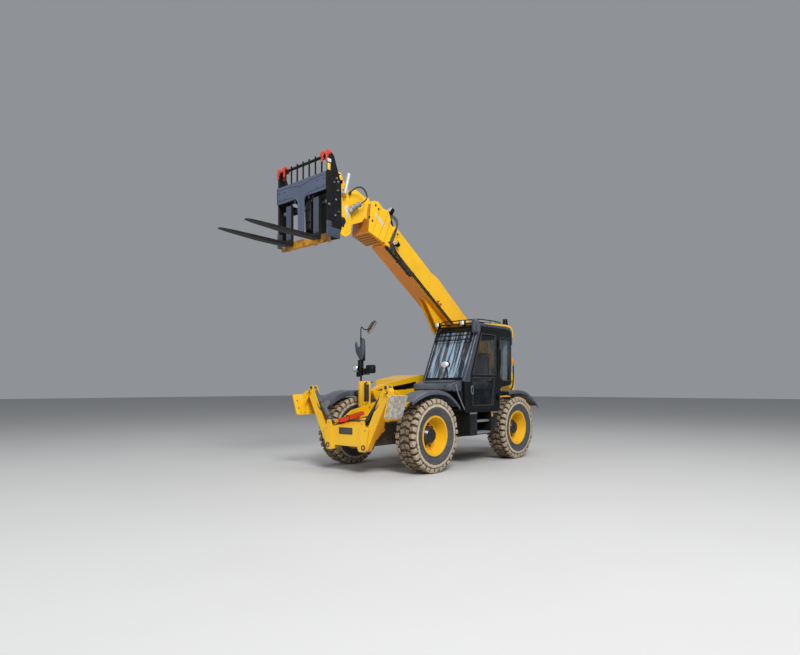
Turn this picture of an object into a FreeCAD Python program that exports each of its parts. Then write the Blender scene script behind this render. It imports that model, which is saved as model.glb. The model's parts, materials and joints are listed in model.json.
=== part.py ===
"""Telescopic handler with a three-section boom, a side cab, front stabilisers and a fork carriage.

Millimetres. The machine is laid out from the front axle: X forward from it, Y to the left, Z up from
the ground. ORIGIN_X then moves every piece so that the machine's middle lies over the origin.
The boom is laid out along itself, with S forward from its pivot and N square to it, and is then
raised to the angle at which it stands.
"""
import math
import os

import FreeCAD
import Part

Vector = FreeCAD.Vector

# Wheels and axles
WHEELBASE = 2750.0
TRACK = 1910.0
TYRE_RADIUS = 627.5
TYRE_CROWN_WIDTH = 330.0
TYRE_BULGE_WIDTH = 400.0
LUG_HEIGHT = 28.0
LUG_WIDTH = 62.0
LUG_SLANT = 22.0
LUGS_PER_ROW = 16
RIM_RADIUS = 343.0
RIM_WIDTH = 334.0
RIM_WALL = 12.0
BEAD_DEPTH = 17.0
RIM_DISC_SET = -25.0
HUB_RADIUS = 158.0
HUB_LENGTH = 112.0
SPINDLE_RADIUS = 70.0
KINGPIN_OFFSET = 235.0
KINGPIN_TRACK = TRACK - 2.0 * KINGPIN_OFFSET
KINGPIN_RADIUS = 34.0
SWIVEL_RADIUS = 115.0
SWIVEL_HEIGHT = 330.0
YOKE_THICKNESS = 38.0
AXLE_TUBE_RADIUS = 92.0
DIFFERENTIAL_RADIUS = 205.0
RUN_FIT = 0.08
SEAT_GAP = 0.3
MOVE_GAP = 8.0

# Chassis
RAIL_HALF_WIDTH = 330.0
RAIL_PLATE = 25.0
RAIL_BOTTOM = 450.0
RAIL_TOP = 905.0
CHASSIS_REAR = -3640.0
NOSE_FRONT = 1000.0
NOSE_HALF_WIDTH = 340.0
NOSE_BOTTOM = 400.0
NOSE_ARCH = 465.0
NOSE_TOP = 790.0
DECK_RISE = 156.0
DECK_BACK = 60.0
WALL_TOP = 1180.0
COUNTERWEIGHT_REAR = -4240.0
COUNTERWEIGHT_HALF_WIDTH = 690.0
COUNTERWEIGHT_BOTTOM = 600.0
COUNTERWEIGHT_TOP = 1130.0
ENGINE_SIZE = (880.0, 470.0, 520.0)
BAY_REAR = -1970.0
BAY_FRONT = -870.0
BAY_OUTER_Y = -1080.0
BONNET_INNER_Y = -360.0
SNOUT_OUTER_Y = -500.0
SNOUT_FRONT = -10.0
BAY_TOP = 1372.0
BAY_FLOOR = 665.0
BONNET_HINGE_X = BAY_REAR - 20.0
BONNET_HINGE_Z = BAY_TOP - 12.0
BONNET_HINGE_YS = (-1000.0, -560.0)

# Boom
BOOM_Y = -80.0
BOOM_PIVOT_X = -4000.0
BOOM_PIVOT_Z = 1620.0
BOOM_ANGLE = 33.0
PIVOT_RADIUS = 60.0
TOWER_GAP = 540.0
TOWER_PLATE = 45.0
OUTER_FRONT = 4740.0
OUTER_WIDTH = 360.0
OUTER_BOTTOM = -252.0
OUTER_TOP = 203.0
BOOM_WALL = 10.0
SECTION_STEP = 30.0
MID_REAR = 660.0
MID_FRONT = 5150.0
INNER_REAR = 760.0
INNER_FRONT = 5520.0
COLLAR_HALF_WIDTH = 200.0
WEAR_GAP = 0.5
PAD_LENGTH = 180.0
HEAD_LUG_RADIUS = 92.0
LIFT_PIN_S = 2450.0
LIFT_PIN_N = -460.0
LIFT_BASE_X = -3700.0
LIFT_BASE_Z = 900.0
LIFT_BARREL_RADIUS = 88.0
LIFT_ROD_RADIUS = 52.0
LIFT_EYE_RADIUS = 85.0
LIFT_EYE_WIDTH = 110.0
LIFT_SIDE_GAP = 0.5
LIFT_BARREL_LENGTH = 1760.0
LIFT_ROD_LENGTH = 1880.0

# Hitch and fork carriage
TILT_PIN_X = 1143.0
TILT_PIN_Z = 4189.0
TILT_PIN_RADIUS = 35.0
HITCH_GAP = 256.0
HITCH_PLATE = 26.0
CARRIAGE_PIN_X = TILT_PIN_X + 67.0
CARRIAGE_PIN_Z = TILT_PIN_Z + 675.0
RIB_OFFSET = HITCH_GAP / 2.0 + HITCH_PLATE + 6.0
RIB_THICKNESS = 18.0
RIB_YS = (BOOM_Y + RIB_OFFSET, BOOM_Y - RIB_OFFSET - RIB_THICKNESS)
CARRIAGE_FRONT = 1894.0
CARRIAGE_WIDTH = 1210.0
CARRIAGE_BOTTOM = 3668.0
SIDE_PLATE = 16.0
BAND_BOTTOM = 4420.0
BAND_TOP = 4690.0
BAND_THICKNESS = 20.0
POST_WIDTH = 145.0
GUARD_TOP = BAND_TOP + 295.0
GUARD_BARS = 7
HOOK_THICKNESS = 20.0
FORK_SPREAD = 670.0
FORK_WIDTH = 125.0
FORK_THICKNESS = 50.0
FORK_LENGTH = 1250.0
FORK_TOP = 3755.0
FORK_SHANK_TOP = 4360.0
SHAFT_X = CARRIAGE_FRONT - 152.0
SHAFT_Z = FORK_SHANK_TOP - 60.0
SHAFT_RADIUS = 30.0

# Stabilisers
LEG_X = 937.0
LEG_PIN_Y = 430.0
LEG_PIN_Z = 460.0
FOOT_PIN_Y = 935.0
FOOT_PIN_Z = 1365.0
LEG_PIN_RADIUS = 25.0
LEG_THICKNESS = 110.0
LEG_BASE_RADIUS = 76.0
LEG_TOP_RADIUS = 52.0
FOOT_SIZE = (440.0, 375.0, 22.0)
FOOT_X = 985.0
FOOT_REACH = 240.0
FOOT_LEAN = 17.0
LEG_RAM_BASE_Y = 410.0
LEG_RAM_BASE_Z = 850.0
LEG_RAM_PIN_Y = 900.0
LEG_RAM_PIN_Z = 1440.0
LEG_RAM_RADIUS = 42.0
LEG_RAM_LENGTH = 690.0
LUG_HOLE_RADIUS = 20.0
LEG_RAM_ROD = 22.0

# Mast with lamps and mirror
MAST_X = 130.0
MAST_FOOT = 1090.0
MAST_TOP = 1560.0
MAST_POLE_RADIUS = 17.0
MAST_POLE_TOP = 2360.0
LAMP_Z = 1800.0
MIRROR_Z = 2080.0
MIRROR_DEPTH = 70.0

# Cab
CAB_INNER_Y = 145.0
CAB_OUTER_Y = 1100.0
CAB_WALL = 45.0
CAB_FLOOR = 985.0
CAB_FRONT = -880.0
CAB_REAR = -2530.0
CAB_ROOF = 2640.0
CAB_SILL = 1580.0
CAB_POST = 55.0
CAB_MIRROR_EDGE = 1168.0
# The brow between windscreen and roof, the roof's flat part and the windows' top line
BROW_X = CAB_FRONT - 445.0
BROW_Z = CAB_ROOF - 95.0
ROOF_FRONT = CAB_FRONT - 570.0
ROOF_REAR = CAB_REAR + 90.0
WINDOW_TOP = CAB_ROOF - 220.0
GLASS = 6.0
DOOR_FRONT = -1075.0
DOOR_REAR = CAB_REAR + 515.0
DOOR_BOTTOM = CAB_FLOOR + 35.0
DOOR_TOP = CAB_ROOF - 120.0
DOOR_SILL = 1686.0
DOOR_RAIL = 60.0
DOOR_EDGE = 70.0
DOOR_GAP = 8.0
DOOR_HINGE_ZS = (1200.0, 2250.0)
DOOR_HINGE_RADIUS = 13.0
DOOR_HINGE_Y = CAB_OUTER_Y + 15.0
GUARD_RISE = 45.0
CAB_POST_GAP = 10.0
# Columns: x and z of each bar of the roof's guard
GUARD_BAR_PLACES = (
    (-1190.0, 2336.0), (-1216.0, 2420.0), (-1243.0, 2504.0), (-1276.0, 2588.0), (-1340.0, 2652.0),
    (-1430.0, 2673.0), (-1530.0, 2673.0), (-1630.0, 2673.0),
)

# Stowed prop and tow hitch
STRUT_START = (905.0, -268.0, 872.0)
STRUT_END = (400.0, -190.0, 990.0)
TOW_PIN_RADIUS = 17.0
TOW_PIN_X = COUNTERWEIGHT_REAR - 80.0
TOW_PIN_Z = 760.0
TOW_REACH = 136.0

# The machine's middle between the tower's rear and the forks' tips
REAR_END = COUNTERWEIGHT_REAR - SEAT_GAP - TOW_REACH
FORK_FACE = CARRIAGE_FRONT - BAND_THICKNESS - 6.0
FORK_TIP = FORK_FACE + FORK_LENGTH
ORIGIN_X = -(REAR_END + FORK_TIP) / 2.0

AXLES = (("front", 0.0), ("rear", -WHEELBASE))
# Rows: x, z of each guard's top line, from its front end, about the wheel's middle
FENDER_LINES = {
    "front": ((630.0, 592.0), (430.0, 690.0), (120.0, 765.0), (-250.0, 745.0), (-520.0, 620.0),
              (-690.0, 482.0)),
    "rear": ((380.0, 742.0), (100.0, 765.0), (-250.0, 745.0), (-520.0, 640.0), (-700.0, 545.0),
             (-830.0, 432.0)),
}
FENDER_SKIN = 14.0
FENDER_INNER_Y = TRACK / 2.0 - 155.0
FENDER_OUTER_Y = TRACK / 2.0 + 195.0
FENDER_LIP = 70.0
FENDER_INNER_LIP = 108.0
SIDES = (("left", 1.0), ("right", -1.0))


def block(x0, x1, y0, y1, z0, z1):
    """A block between two corners."""
    return Part.makeBox(x1 - x0, y1 - y0, z1 - z0, Vector(x0, y0, z0))


def rounded_wire(points):
    """A closed wire in XZ through rows of x, z and an optional corner radius."""
    corners = [(Vector(p[0], 0, p[1]), p[2] if len(p) > 2 else 0.0) for p in points]
    starts, ends, arcs = [], [], []
    count = len(corners)
    for i, (corner, radius) in enumerate(corners):
        before = corners[i - 1][0] - corner
        after = corners[(i + 1) % count][0] - corner
        before.normalize()
        after.normalize()
        middle = before + after
        if radius <= 0.0 or middle.Length < 0.01:
            starts.append(corner)
            ends.append(corner)
            arcs.append(None)
            continue
        half = before.getAngle(after) / 2.0
        reach = radius / math.tan(half)
        middle.normalize()
        top = corner + middle * (radius / math.sin(half) - radius)
        starts.append(corner + before * reach)
        ends.append(corner + after * reach)
        arcs.append(Part.Arc(starts[-1], top, ends[-1]).toShape())
    edges = []
    for i in range(count):
        if arcs[i] is not None:
            edges.append(arcs[i])
        start, end = ends[i], starts[(i + 1) % count]
        if start.distanceToPoint(end) > 1e-6:
            edges.append(Part.LineSegment(start, end).toShape())
    return Part.Wire(edges)


def plate_xz(points, y0, y1):
    """A plate with an outline in XZ, from y0 to y1."""
    face = Part.Face(rounded_wire(points))
    face.translate(Vector(0, y0, 0))
    return face.extrude(Vector(0, y1 - y0, 0))


def plate_yz(points, x0, x1):
    """A plate with an outline in YZ, from x0 to x1: rows of y, z and an optional corner radius."""
    shape = plate_xz(points, -x1, -x0)
    shape.rotate(Vector(0, 0, 0), Vector(0, 0, 1), 90)
    return shape


def plate_xy(points, z0, z1):
    """A plate with an outline in XY, from z0 to z1: rows of x, y and an optional corner radius."""
    shape = plate_xz(points, -z1, -z0)
    shape.rotate(Vector(0, 0, 0), Vector(1, 0, 0), -90)
    return shape


def rod(start, end, radius):
    """A round bar between two points."""
    a, b = Vector(*start), Vector(*end)
    return Part.makeCylinder(radius, (b - a).Length, a, b - a)


def revolve_y(points, y_centre=0.0, x=0.0, z=0.0):
    """A turned piece about a line along Y: rows of radius and y."""
    wire = Part.makePolygon([Vector(r, y, 0) for r, y in points + points[:1]])
    shape = Part.Face(wire).revolve(Vector(0, 0, 0), Vector(0, 1, 0), 360)
    shape.translate(Vector(x, y_centre, z))
    return shape


def fuse(shapes):
    """Joins shapes to one and drops the seams between flush faces."""
    first, rest = shapes[0], list(shapes[1:])
    return first.fuse(rest).removeSplitter() if rest else first


def mirrored(shape):
    """The same piece on the other side of the machine's middle plane."""
    return shape.mirror(Vector(0, 0, 0), Vector(0, 1, 0))


def sided(shape, side):
    """A left piece as it is, or its mirror image for the right side."""
    return shape if side > 0 else mirrored(shape)


def to_boom(shape):
    """Takes a piece laid out along the boom to where the boom stands."""
    shape.rotate(Vector(0, 0, 0), Vector(0, 1, 0), -BOOM_ANGLE)
    shape.translate(Vector(BOOM_PIVOT_X, BOOM_Y, BOOM_PIVOT_Z))
    return shape


def boom_point(s, n):
    """The X and Z of a point of the boom's own plane."""
    angle = math.radians(BOOM_ANGLE)
    return (
        BOOM_PIVOT_X + s * math.cos(angle) - n * math.sin(angle),
        BOOM_PIVOT_Z + s * math.sin(angle) + n * math.cos(angle),
    )


def save(name, shape):
    """Writes one node's STEP file in the finished frame."""
    moved = shape.copy()
    moved.translate(Vector(ORIGIN_X, 0, 0))
    moved.exportStep(os.path.join("parts", name + ".step"))
    return moved


def polygon_ring(radius, y, sides):
    """A closed polygon about a line along Y, with a flat at the bottom."""
    turn = 2.0 * math.pi / sides
    points = []
    for i in range(sides + 1):
        angle = (i + 0.5) * turn
        points.append(Vector(radius * math.sin(angle), y, -radius * math.cos(angle)))
    return Part.makePolygon(points)


def make_tyre():
    """A block-lug tyre about the Y axis, centred at the origin."""
    crown = TYRE_RADIUS - LUG_HEIGHT
    half_crown = TYRE_CROWN_WIDTH / 2.0
    half_bulge = TYRE_BULGE_WIDTH / 2.0
    bead = RIM_WIDTH / 2.0 - BEAD_DEPTH
    sides = 2 * LUGS_PER_ROW
    # Columns: radius, y
    section = (
        (RIM_RADIUS + 2.0, bead),
        (RIM_RADIUS + 95.0, half_bulge),
        (crown - 75.0, half_bulge - 6.0),
        (crown - 6.0, half_crown - 8.0),
    )
    rows = [(r, -y) for r, y in section] + [(r, y) for r, y in reversed(section)]
    carcass = Part.makeLoft([polygon_ring(r, y, sides) for r, y in rows], True, True)
    bore = Part.makeCylinder(RIM_RADIUS - BEAD_DEPTH + SEAT_GAP, 2 * half_bulge,
                             Vector(0, -half_bulge, 0), Vector(0, 1, 0))
    carcass = carcass.cut(bore)
    reach = half_crown + 12.0
    slant = reach * math.tan(math.radians(LUG_SLANT))
    outline = [
        Vector(-(LUG_WIDTH + slant) / 2.0, 8.0, 0),
        Vector((LUG_WIDTH - slant) / 2.0, 8.0, 0),
        Vector((LUG_WIDTH + slant) / 2.0, reach, 0),
        Vector((slant - LUG_WIDTH) / 2.0, reach, 0),
    ]
    root = crown - 34.0
    bar = Part.Face(Part.makePolygon(outline + outline[:1])).extrude(Vector(0, 0, TYRE_RADIUS - root))
    bar.translate(Vector(0, 0, root))
    shoulder = plate_yz([(reach + 1.0, TYRE_RADIUS + 1.0), (half_crown - 22.0, TYRE_RADIUS + 1.0),
                         (reach + 1.0, TYRE_RADIUS - 34.0)],
                        -TYRE_BULGE_WIDTH, TYRE_BULGE_WIDTH)
    bar = bar.cut(shoulder)
    bar.rotate(Vector(0, 0, 0), Vector(0, 1, 0), 180.0)
    step = 360.0 / LUGS_PER_ROW
    lugs = []
    for i in range(LUGS_PER_ROW):
        for other, shift in ((False, 0.0), (True, 0.5)):
            lug = bar.mirror(Vector(0, 0, 0), Vector(0, 1, 0)) if other else bar.copy()
            lug.rotate(Vector(0, 0, 0), Vector(0, 1, 0), (i + shift) * step)
            lugs.append(lug)
    return carcass.fuse(lugs)


def make_rim():
    """The wheel's rim and its dished disc about the Y axis, outside towards +Y."""
    half = RIM_WIDTH / 2.0
    seat = RIM_RADIUS - BEAD_DEPTH
    inner = seat - RIM_WALL
    disc = RIM_DISC_SET
    return revolve_y([
        (SPINDLE_RADIUS + 32.0, disc - 18.0),
        (inner, disc - 18.0),
        (inner, -half),
        (RIM_RADIUS, -half),
        (RIM_RADIUS, -half + 12.0),
        (seat, -half + 16.0),
        (seat, half - 16.0),
        (RIM_RADIUS, half - 12.0),
        (RIM_RADIUS, half),
        (inner, half),
        (inner - 50.0, disc),
        (SPINDLE_RADIUS + 32.0, disc),
    ])


def make_hub():
    """The wheel's final-drive hub about the Y axis, bored for the spindle."""
    disc = RIM_DISC_SET
    return revolve_y([
        (SPINDLE_RADIUS + RUN_FIT, disc - 60.0),
        (SPINDLE_RADIUS + 32.0 - SEAT_GAP, disc - 60.0),
        (SPINDLE_RADIUS + 32.0 - SEAT_GAP, disc + SEAT_GAP),
        (HUB_RADIUS, disc + SEAT_GAP),
        (HUB_RADIUS, disc + 62.0),
        (HUB_RADIUS - 42.0, disc + HUB_LENGTH),
        (0.0, disc + HUB_LENGTH),
        (0.0, disc + 60.0),
        (SPINDLE_RADIUS + RUN_FIT, disc + 60.0),
    ])


def make_knuckle():
    """A left steering knuckle about its kingpin's centre, with its spindle towards +Y."""
    out = (TRACK - KINGPIN_TRACK) / 2.0
    half = SWIVEL_HEIGHT / 2.0
    housing = Part.makeCylinder(SWIVEL_RADIUS, SWIVEL_HEIGHT, Vector(0, 0, -half))
    flange = rod((0, 20, 0), (0, out + RIM_DISC_SET - 60.0 - MOVE_GAP, 0), SWIVEL_RADIUS + 12.0)
    spindle = rod((0, 20, 0), (0, out + RIM_DISC_SET + 58.0, 0), SPINDLE_RADIUS)
    pins = [rod((0, 0, sign * (half - 10.0)), (0, 0, sign * (half + YOKE_THICKNESS)),
                KINGPIN_RADIUS) for sign in (1, -1)]
    return fuse([housing, flange, spindle] + pins)


def make_axle():
    """An axle beam about the origin, with a yoke at each end that holds a knuckle."""
    reach = KINGPIN_TRACK / 2.0
    half = SWIVEL_HEIGHT / 2.0 + 2.0
    inner = reach - SWIVEL_RADIUS - 22.0
    tube = rod((0, -inner, 0), (0, inner, 0), AXLE_TUBE_RADIUS)
    ball = rod((0, -150, 0), (0, 150, 0), DIFFERENTIAL_RADIUS)
    nose = rod((0, 0, 0), (-330, 0, 0), 85.0)
    pieces = [tube, ball, nose]
    for side in (1, -1):
        back = [
            (side * (inner - 60.0), -half - YOKE_THICKNESS),
            (side * inner, -half - YOKE_THICKNESS),
            (side * inner, half + YOKE_THICKNESS),
            (side * (inner - 60.0), half + YOKE_THICKNESS),
        ]
        pieces.append(plate_yz(back, -85.0, 85.0))
        for sign in (1, -1):
            low = half if sign > 0 else -half - YOKE_THICKNESS
            y0, y1 = sorted((side * (inner - 5.0), side * reach))
            arm = block(-70.0, 70.0, y0, y1, low, low + YOKE_THICKNESS)
            end = Part.makeCylinder(70.0, YOKE_THICKNESS, Vector(0, side * reach, low))
            pieces += [arm, end]
    axle = fuse(pieces)
    for side in (1, -1):
        bore = Part.makeCylinder(KINGPIN_RADIUS + RUN_FIT, 2 * half + 200.0,
                                 Vector(0, side * reach, -half - 100.0))
        axle = axle.cut(bore)
    return axle


def lowered(line, drop):
    """A guard's line moved down, with its inner corners rounded."""
    last = len(line) - 1
    return [(x, z - drop, 60.0 if 0 < i < last else 0.0) for i, (x, z) in enumerate(line)]


def make_fender(line):
    """A left wheel's arched guard about the kingpin's centre line at axle height."""
    y_in = FENDER_INNER_Y - KINGPIN_TRACK / 2.0
    y_out = FENDER_OUTER_Y - KINGPIN_TRACK / 2.0
    skin = FENDER_SKIN

    roof = plate_xz(lowered(line, 0.0) + lowered(line, skin)[::-1], y_in, y_out)
    outer = plate_xz(lowered(line, 0.0) + lowered(line, FENDER_LIP)[::-1], y_out - skin, y_out)
    inner = plate_xz(lowered(line, 0.0) + lowered(line, FENDER_INNER_LIP)[::-1], y_in, y_in + skin)
    return roof.fuse([outer, inner])


def fender_top(line, x):
    """The height of a guard's top line at one place along it."""
    after = [i for i, row in enumerate(line) if row[0] < x][0]
    (x0, z0), (x1, z1) = line[after - 1], line[after]
    return z0 + (z1 - z0) * (x - x0) / (x1 - x0)


def fender_bracket(line):
    """The arm on the kingpin that carries the guard, with a top that follows the guard's slope."""
    tops = [fender_top(line, x) - FENDER_SKIN - SEAT_GAP for x in (40.0, -40.0)]
    yoke = SWIVEL_HEIGHT / 2.0 + YOKE_THICKNESS + MOVE_GAP
    lip = FENDER_INNER_Y - KINGPIN_TRACK / 2.0
    level = min(tops) - FENDER_INNER_LIP + 40.0
    return fuse([
        Part.makeCylinder(KINGPIN_RADIUS, yoke + 10.0 - SWIVEL_HEIGHT / 2.0,
                          Vector(0, 0, SWIVEL_HEIGHT / 2.0)),
        block(-45.0, 45.0, -55.0, 45.0, yoke, yoke + 18.0),
        block(-40.0, 40.0, -55.0, -39.0, yoke, level + 16.0),
        block(-40.0, 40.0, -55.0, lip - SEAT_GAP, level, level + 16.0),
        block(-40.0, 40.0, lip - SEAT_GAP - 12.0, lip - SEAT_GAP, level - 16.0, min(tops) - 4.0),
    ])


def fender_arm(line):
    """The arm from the chassis' rail that carries a rear guard, about the kingpin's centre line."""
    y_in = RAIL_HALF_WIDTH + SEAT_GAP - KINGPIN_TRACK / 2.0
    lip = FENDER_INNER_Y - KINGPIN_TRACK / 2.0
    foot = RAIL_TOP - 120.0 - TYRE_RADIUS
    tops = [fender_top(line, x) - FENDER_SKIN - SEAT_GAP for x in (40.0, -40.0)]
    level = min(tops) - FENDER_INNER_LIP - 10.0
    bar = block(-40.0, 40.0, y_in, lip - SEAT_GAP, level, level + 50.0)
    post = block(-40.0, 40.0, y_in, y_in + 16.0, foot, level + 50.0)
    plate = block(-40.0, 40.0, lip - SEAT_GAP - 12.0, lip - SEAT_GAP, level, min(tops) - 4.0)
    return fuse([bar, post, plate])


def chassis_frame():
    """Two side plates with a belly, cross members and the walls beside the boom's slot."""
    inner = RAIL_HALF_WIDTH - RAIL_PLATE
    # Columns: x, z, corner radius
    side = (
        (CHASSIS_REAR, RAIL_BOTTOM + 60.0, 40.0), (-3350.0, RAIL_BOTTOM, 60.0), (700.0, RAIL_BOTTOM, 30.0),
        (NOSE_FRONT - 30.0, RAIL_BOTTOM), (NOSE_FRONT - 30.0, NOSE_TOP - 5.0),
        (560.0, 1040.0, 60.0), (-60.0, WALL_TOP, 80.0), (-640.0, WALL_TOP, 60.0),
        (-840.0, RAIL_TOP, 60.0), (CHASSIS_REAR, RAIL_TOP),
    )
    pieces = [plate_xz(side, inner, RAIL_HALF_WIDTH), plate_xz(side, -RAIL_HALF_WIDTH, -inner)]
    pieces.append(block(-3300.0, NOSE_FRONT - 60.0, -inner - 1, inner + 1, RAIL_BOTTOM, RAIL_BOTTOM + 12.0))
    # Columns: x0, x1, z0, z1 of each cross member
    for x0, x1, z0, z1 in ((CHASSIS_REAR, -3600.0, 520.0, 700.0), (-2100.0, -2080.0, 450.0, 840.0),
                           (-420.0, -400.0, 450.0, 850.0)):
        pieces.append(block(x0, x1, -inner - 1, inner + 1, z0, z1))
    for x in (-1000.0, -2030.0):
        pieces.append(block(x, x + 80.0, RAIL_HALF_WIDTH - 40.0, RAIL_HALF_WIDTH + 70.0, RAIL_TOP - 20.0,
                            CAB_FLOOR - SEAT_GAP))
    frame = fuse(pieces + lift_base())
    # Saddles cut over the two axles
    for _, x in AXLES:
        tube = rod((x, -600, TYRE_RADIUS), (x, 600, TYRE_RADIUS), AXLE_TUBE_RADIUS + SEAT_GAP)
        ball = rod((x, -152, TYRE_RADIUS), (x, 152, TYRE_RADIUS), DIFFERENTIAL_RADIUS + 5.0)
        nose = rod((x, 0, TYRE_RADIUS), (x - 340, 0, TYRE_RADIUS), 90.0)
        frame = frame.cut([tube, ball, nose])
    return frame


def nose_frame():
    """The arched front plate, the sloped deck with its slots and the stabilisers' ears."""
    half = NOSE_HALF_WIDTH
    front = [
        (-half, NOSE_BOTTOM, 20.0), (-half + 50.0, NOSE_BOTTOM, 10.0), (-half + 70.0, NOSE_ARCH, 20.0),
        (half - 70.0, NOSE_ARCH, 20.0), (half - 50.0, NOSE_BOTTOM, 10.0), (half, NOSE_BOTTOM, 20.0),
        (half, NOSE_TOP), (-half, NOSE_TOP),
    ]
    plate = plate_yz(front, NOSE_FRONT - 30.0 + SEAT_GAP, NOSE_FRONT)
    near = LEG_X - LEG_THICKNESS / 2.0 - MOVE_GAP
    far = LEG_X + LEG_THICKNESS / 2.0 + MOVE_GAP
    ram_y, ram_z = LEG_RAM_BASE_Y, LEG_RAM_BASE_Z
    low = LEG_PIN_Z - LEG_BASE_RADIUS + 4.0
    # Columns: y, z and corner radius of a left ear
    ear = (
        (half - 10.0, low), (LEG_PIN_Y + 40.0, low, 50.0), (LEG_PIN_Y + 110.0, NOSE_TOP, 40.0),
        (ram_y + 48.0, ram_z - 40.0, 30.0), (ram_y + 44.0, ram_z + 42.0, 38.0),
        (ram_y - 44.0, ram_z + 42.0, 38.0),
        (half - 10.0, NOSE_TOP),
    )
    left = []
    for x in (near - 20.0, far):
        left.append(plate_yz(list(ear), x, x + 20.0))
    left.append(rod((near - 28.0, LEG_PIN_Y, LEG_PIN_Z), (far + 26.0, LEG_PIN_Y, LEG_PIN_Z),
                    LEG_PIN_RADIUS))
    left.append(rod((near - 28.0, ram_y, ram_z), (far + 26.0, ram_y, ram_z), 18.0))
    left.append(block(near - 20.0, far + 20.0, RAIL_HALF_WIDTH + SEAT_GAP, half + 6.0, low, NOSE_TOP))
    ears = fuse(left)
    inner = RAIL_HALF_WIDTH - RAIL_PLATE - SEAT_GAP
    back = NOSE_FRONT - 29.0
    deck = plate_xz([(back, NOSE_TOP - 12.0), (back, NOSE_TOP), (DECK_BACK, NOSE_TOP + DECK_RISE),
                     (DECK_BACK, NOSE_TOP + DECK_RISE - 12.0)], -inner, inner)
    # Columns: x and y of the middle, y length of each slot in the deck
    for x, y, length in ((585.0, -120.0, 360.0), (275.0, -195.0, 190.0)):
        slot = plate_xy([(x - 28.0, y - length / 2.0, 20.0), (x + 28.0, y - length / 2.0, 20.0),
                         (x + 28.0, y + length / 2.0, 20.0), (x - 28.0, y + length / 2.0, 20.0)],
                        NOSE_TOP - 20.0, NOSE_TOP + DECK_RISE + 20.0)
        deck = deck.cut(slot)
    return fuse([plate, ears, mirrored(ears), deck])


def counterweight():
    """The cast weight across the chassis' rear, notched for the boom's tail."""
    half = COUNTERWEIGHT_HALF_WIDTH
    rear, front = COUNTERWEIGHT_REAR, CHASSIS_REAR - SEAT_GAP
    outline = [
        (rear, -half + 120.0, 60.0), (rear + 140.0, -half, 60.0), (front, -half), (front, half),
        (rear + 140.0, half, 60.0), (rear, half - 120.0, 60.0),
    ]
    weight = plate_xy(outline, COUNTERWEIGHT_BOTTOM, COUNTERWEIGHT_TOP)
    slot = block(LIFT_BASE_X - 190.0, front + 1.0, BOOM_Y - 175.0, BOOM_Y + 175.0,
                 COUNTERWEIGHT_BOTTOM - 1.0, COUNTERWEIGHT_TOP + 1.0)
    return weight.cut(slot)


def boom_tower():
    """Two plates that carry the boom's pivot, standing on the chassis' rear."""
    x, z = BOOM_PIVOT_X, BOOM_PIVOT_Z
    outline = [
        (-4150.0, COUNTERWEIGHT_TOP + SEAT_GAP), (-4180.0, z, 60.0), (x - 110.0, z + 175.0, 110.0),
        (x + 120.0, z + 175.0, 110.0), (x + 330.0, z - 200.0, 150.0), (-3230.0, RAIL_TOP + 60.0, 60.0),
        (-3160.0, RAIL_TOP + SEAT_GAP), (CHASSIS_REAR - SEAT_GAP, RAIL_TOP + SEAT_GAP),
        (CHASSIS_REAR - SEAT_GAP, COUNTERWEIGHT_TOP + SEAT_GAP),
    ]
    plates = []
    for side in (1, -1):
        near = BOOM_Y + side * TOWER_GAP / 2.0
        far = near + side * TOWER_PLATE
        plates.append(plate_xz(outline, min(near, far), max(near, far)))
    pin = rod((x, BOOM_Y - TOWER_GAP / 2.0 - TOWER_PLATE - 14.0, z),
              (x, BOOM_Y + TOWER_GAP / 2.0 + TOWER_PLATE + 14.0, z), PIVOT_RADIUS)
    tie = block(-4140.0, -4115.0, BOOM_Y - TOWER_GAP / 2.0 - 1.0, BOOM_Y + TOWER_GAP / 2.0 + 1.0,
                COUNTERWEIGHT_TOP + SEAT_GAP, COUNTERWEIGHT_TOP + 210.0)
    return fuse(plates + [pin, tie])


def lift_base():
    """The ears on the chassis that hold the lift ram's barrel."""
    ears = []
    for side in (1, -1):
        near = BOOM_Y + side * (LIFT_EYE_WIDTH / 2.0 + LIFT_SIDE_GAP)
        far = near + side * 24.0
        outline = [(LIFT_BASE_X + 62.0, 520.0), (LIFT_BASE_X + 300.0, 450.0),
                   (LIFT_BASE_X + 80.0, LIFT_BASE_Z + 60.0, 50.0),
                   (LIFT_BASE_X - 80.0, LIFT_BASE_Z + 60.0, 50.0), (LIFT_BASE_X - 80.0,
                                                                    LIFT_BASE_Z - 60.0, 30.0)]
        ears.append(plate_xz(outline, min(near, far), max(near, far)))
    pin = rod((LIFT_BASE_X, BOOM_Y - LIFT_EYE_WIDTH / 2.0 - 40.0, LIFT_BASE_Z),
              (LIFT_BASE_X, BOOM_Y + LIFT_EYE_WIDTH / 2.0 + 40.0, LIFT_BASE_Z), 40.0)
    return ears + [pin]


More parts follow.
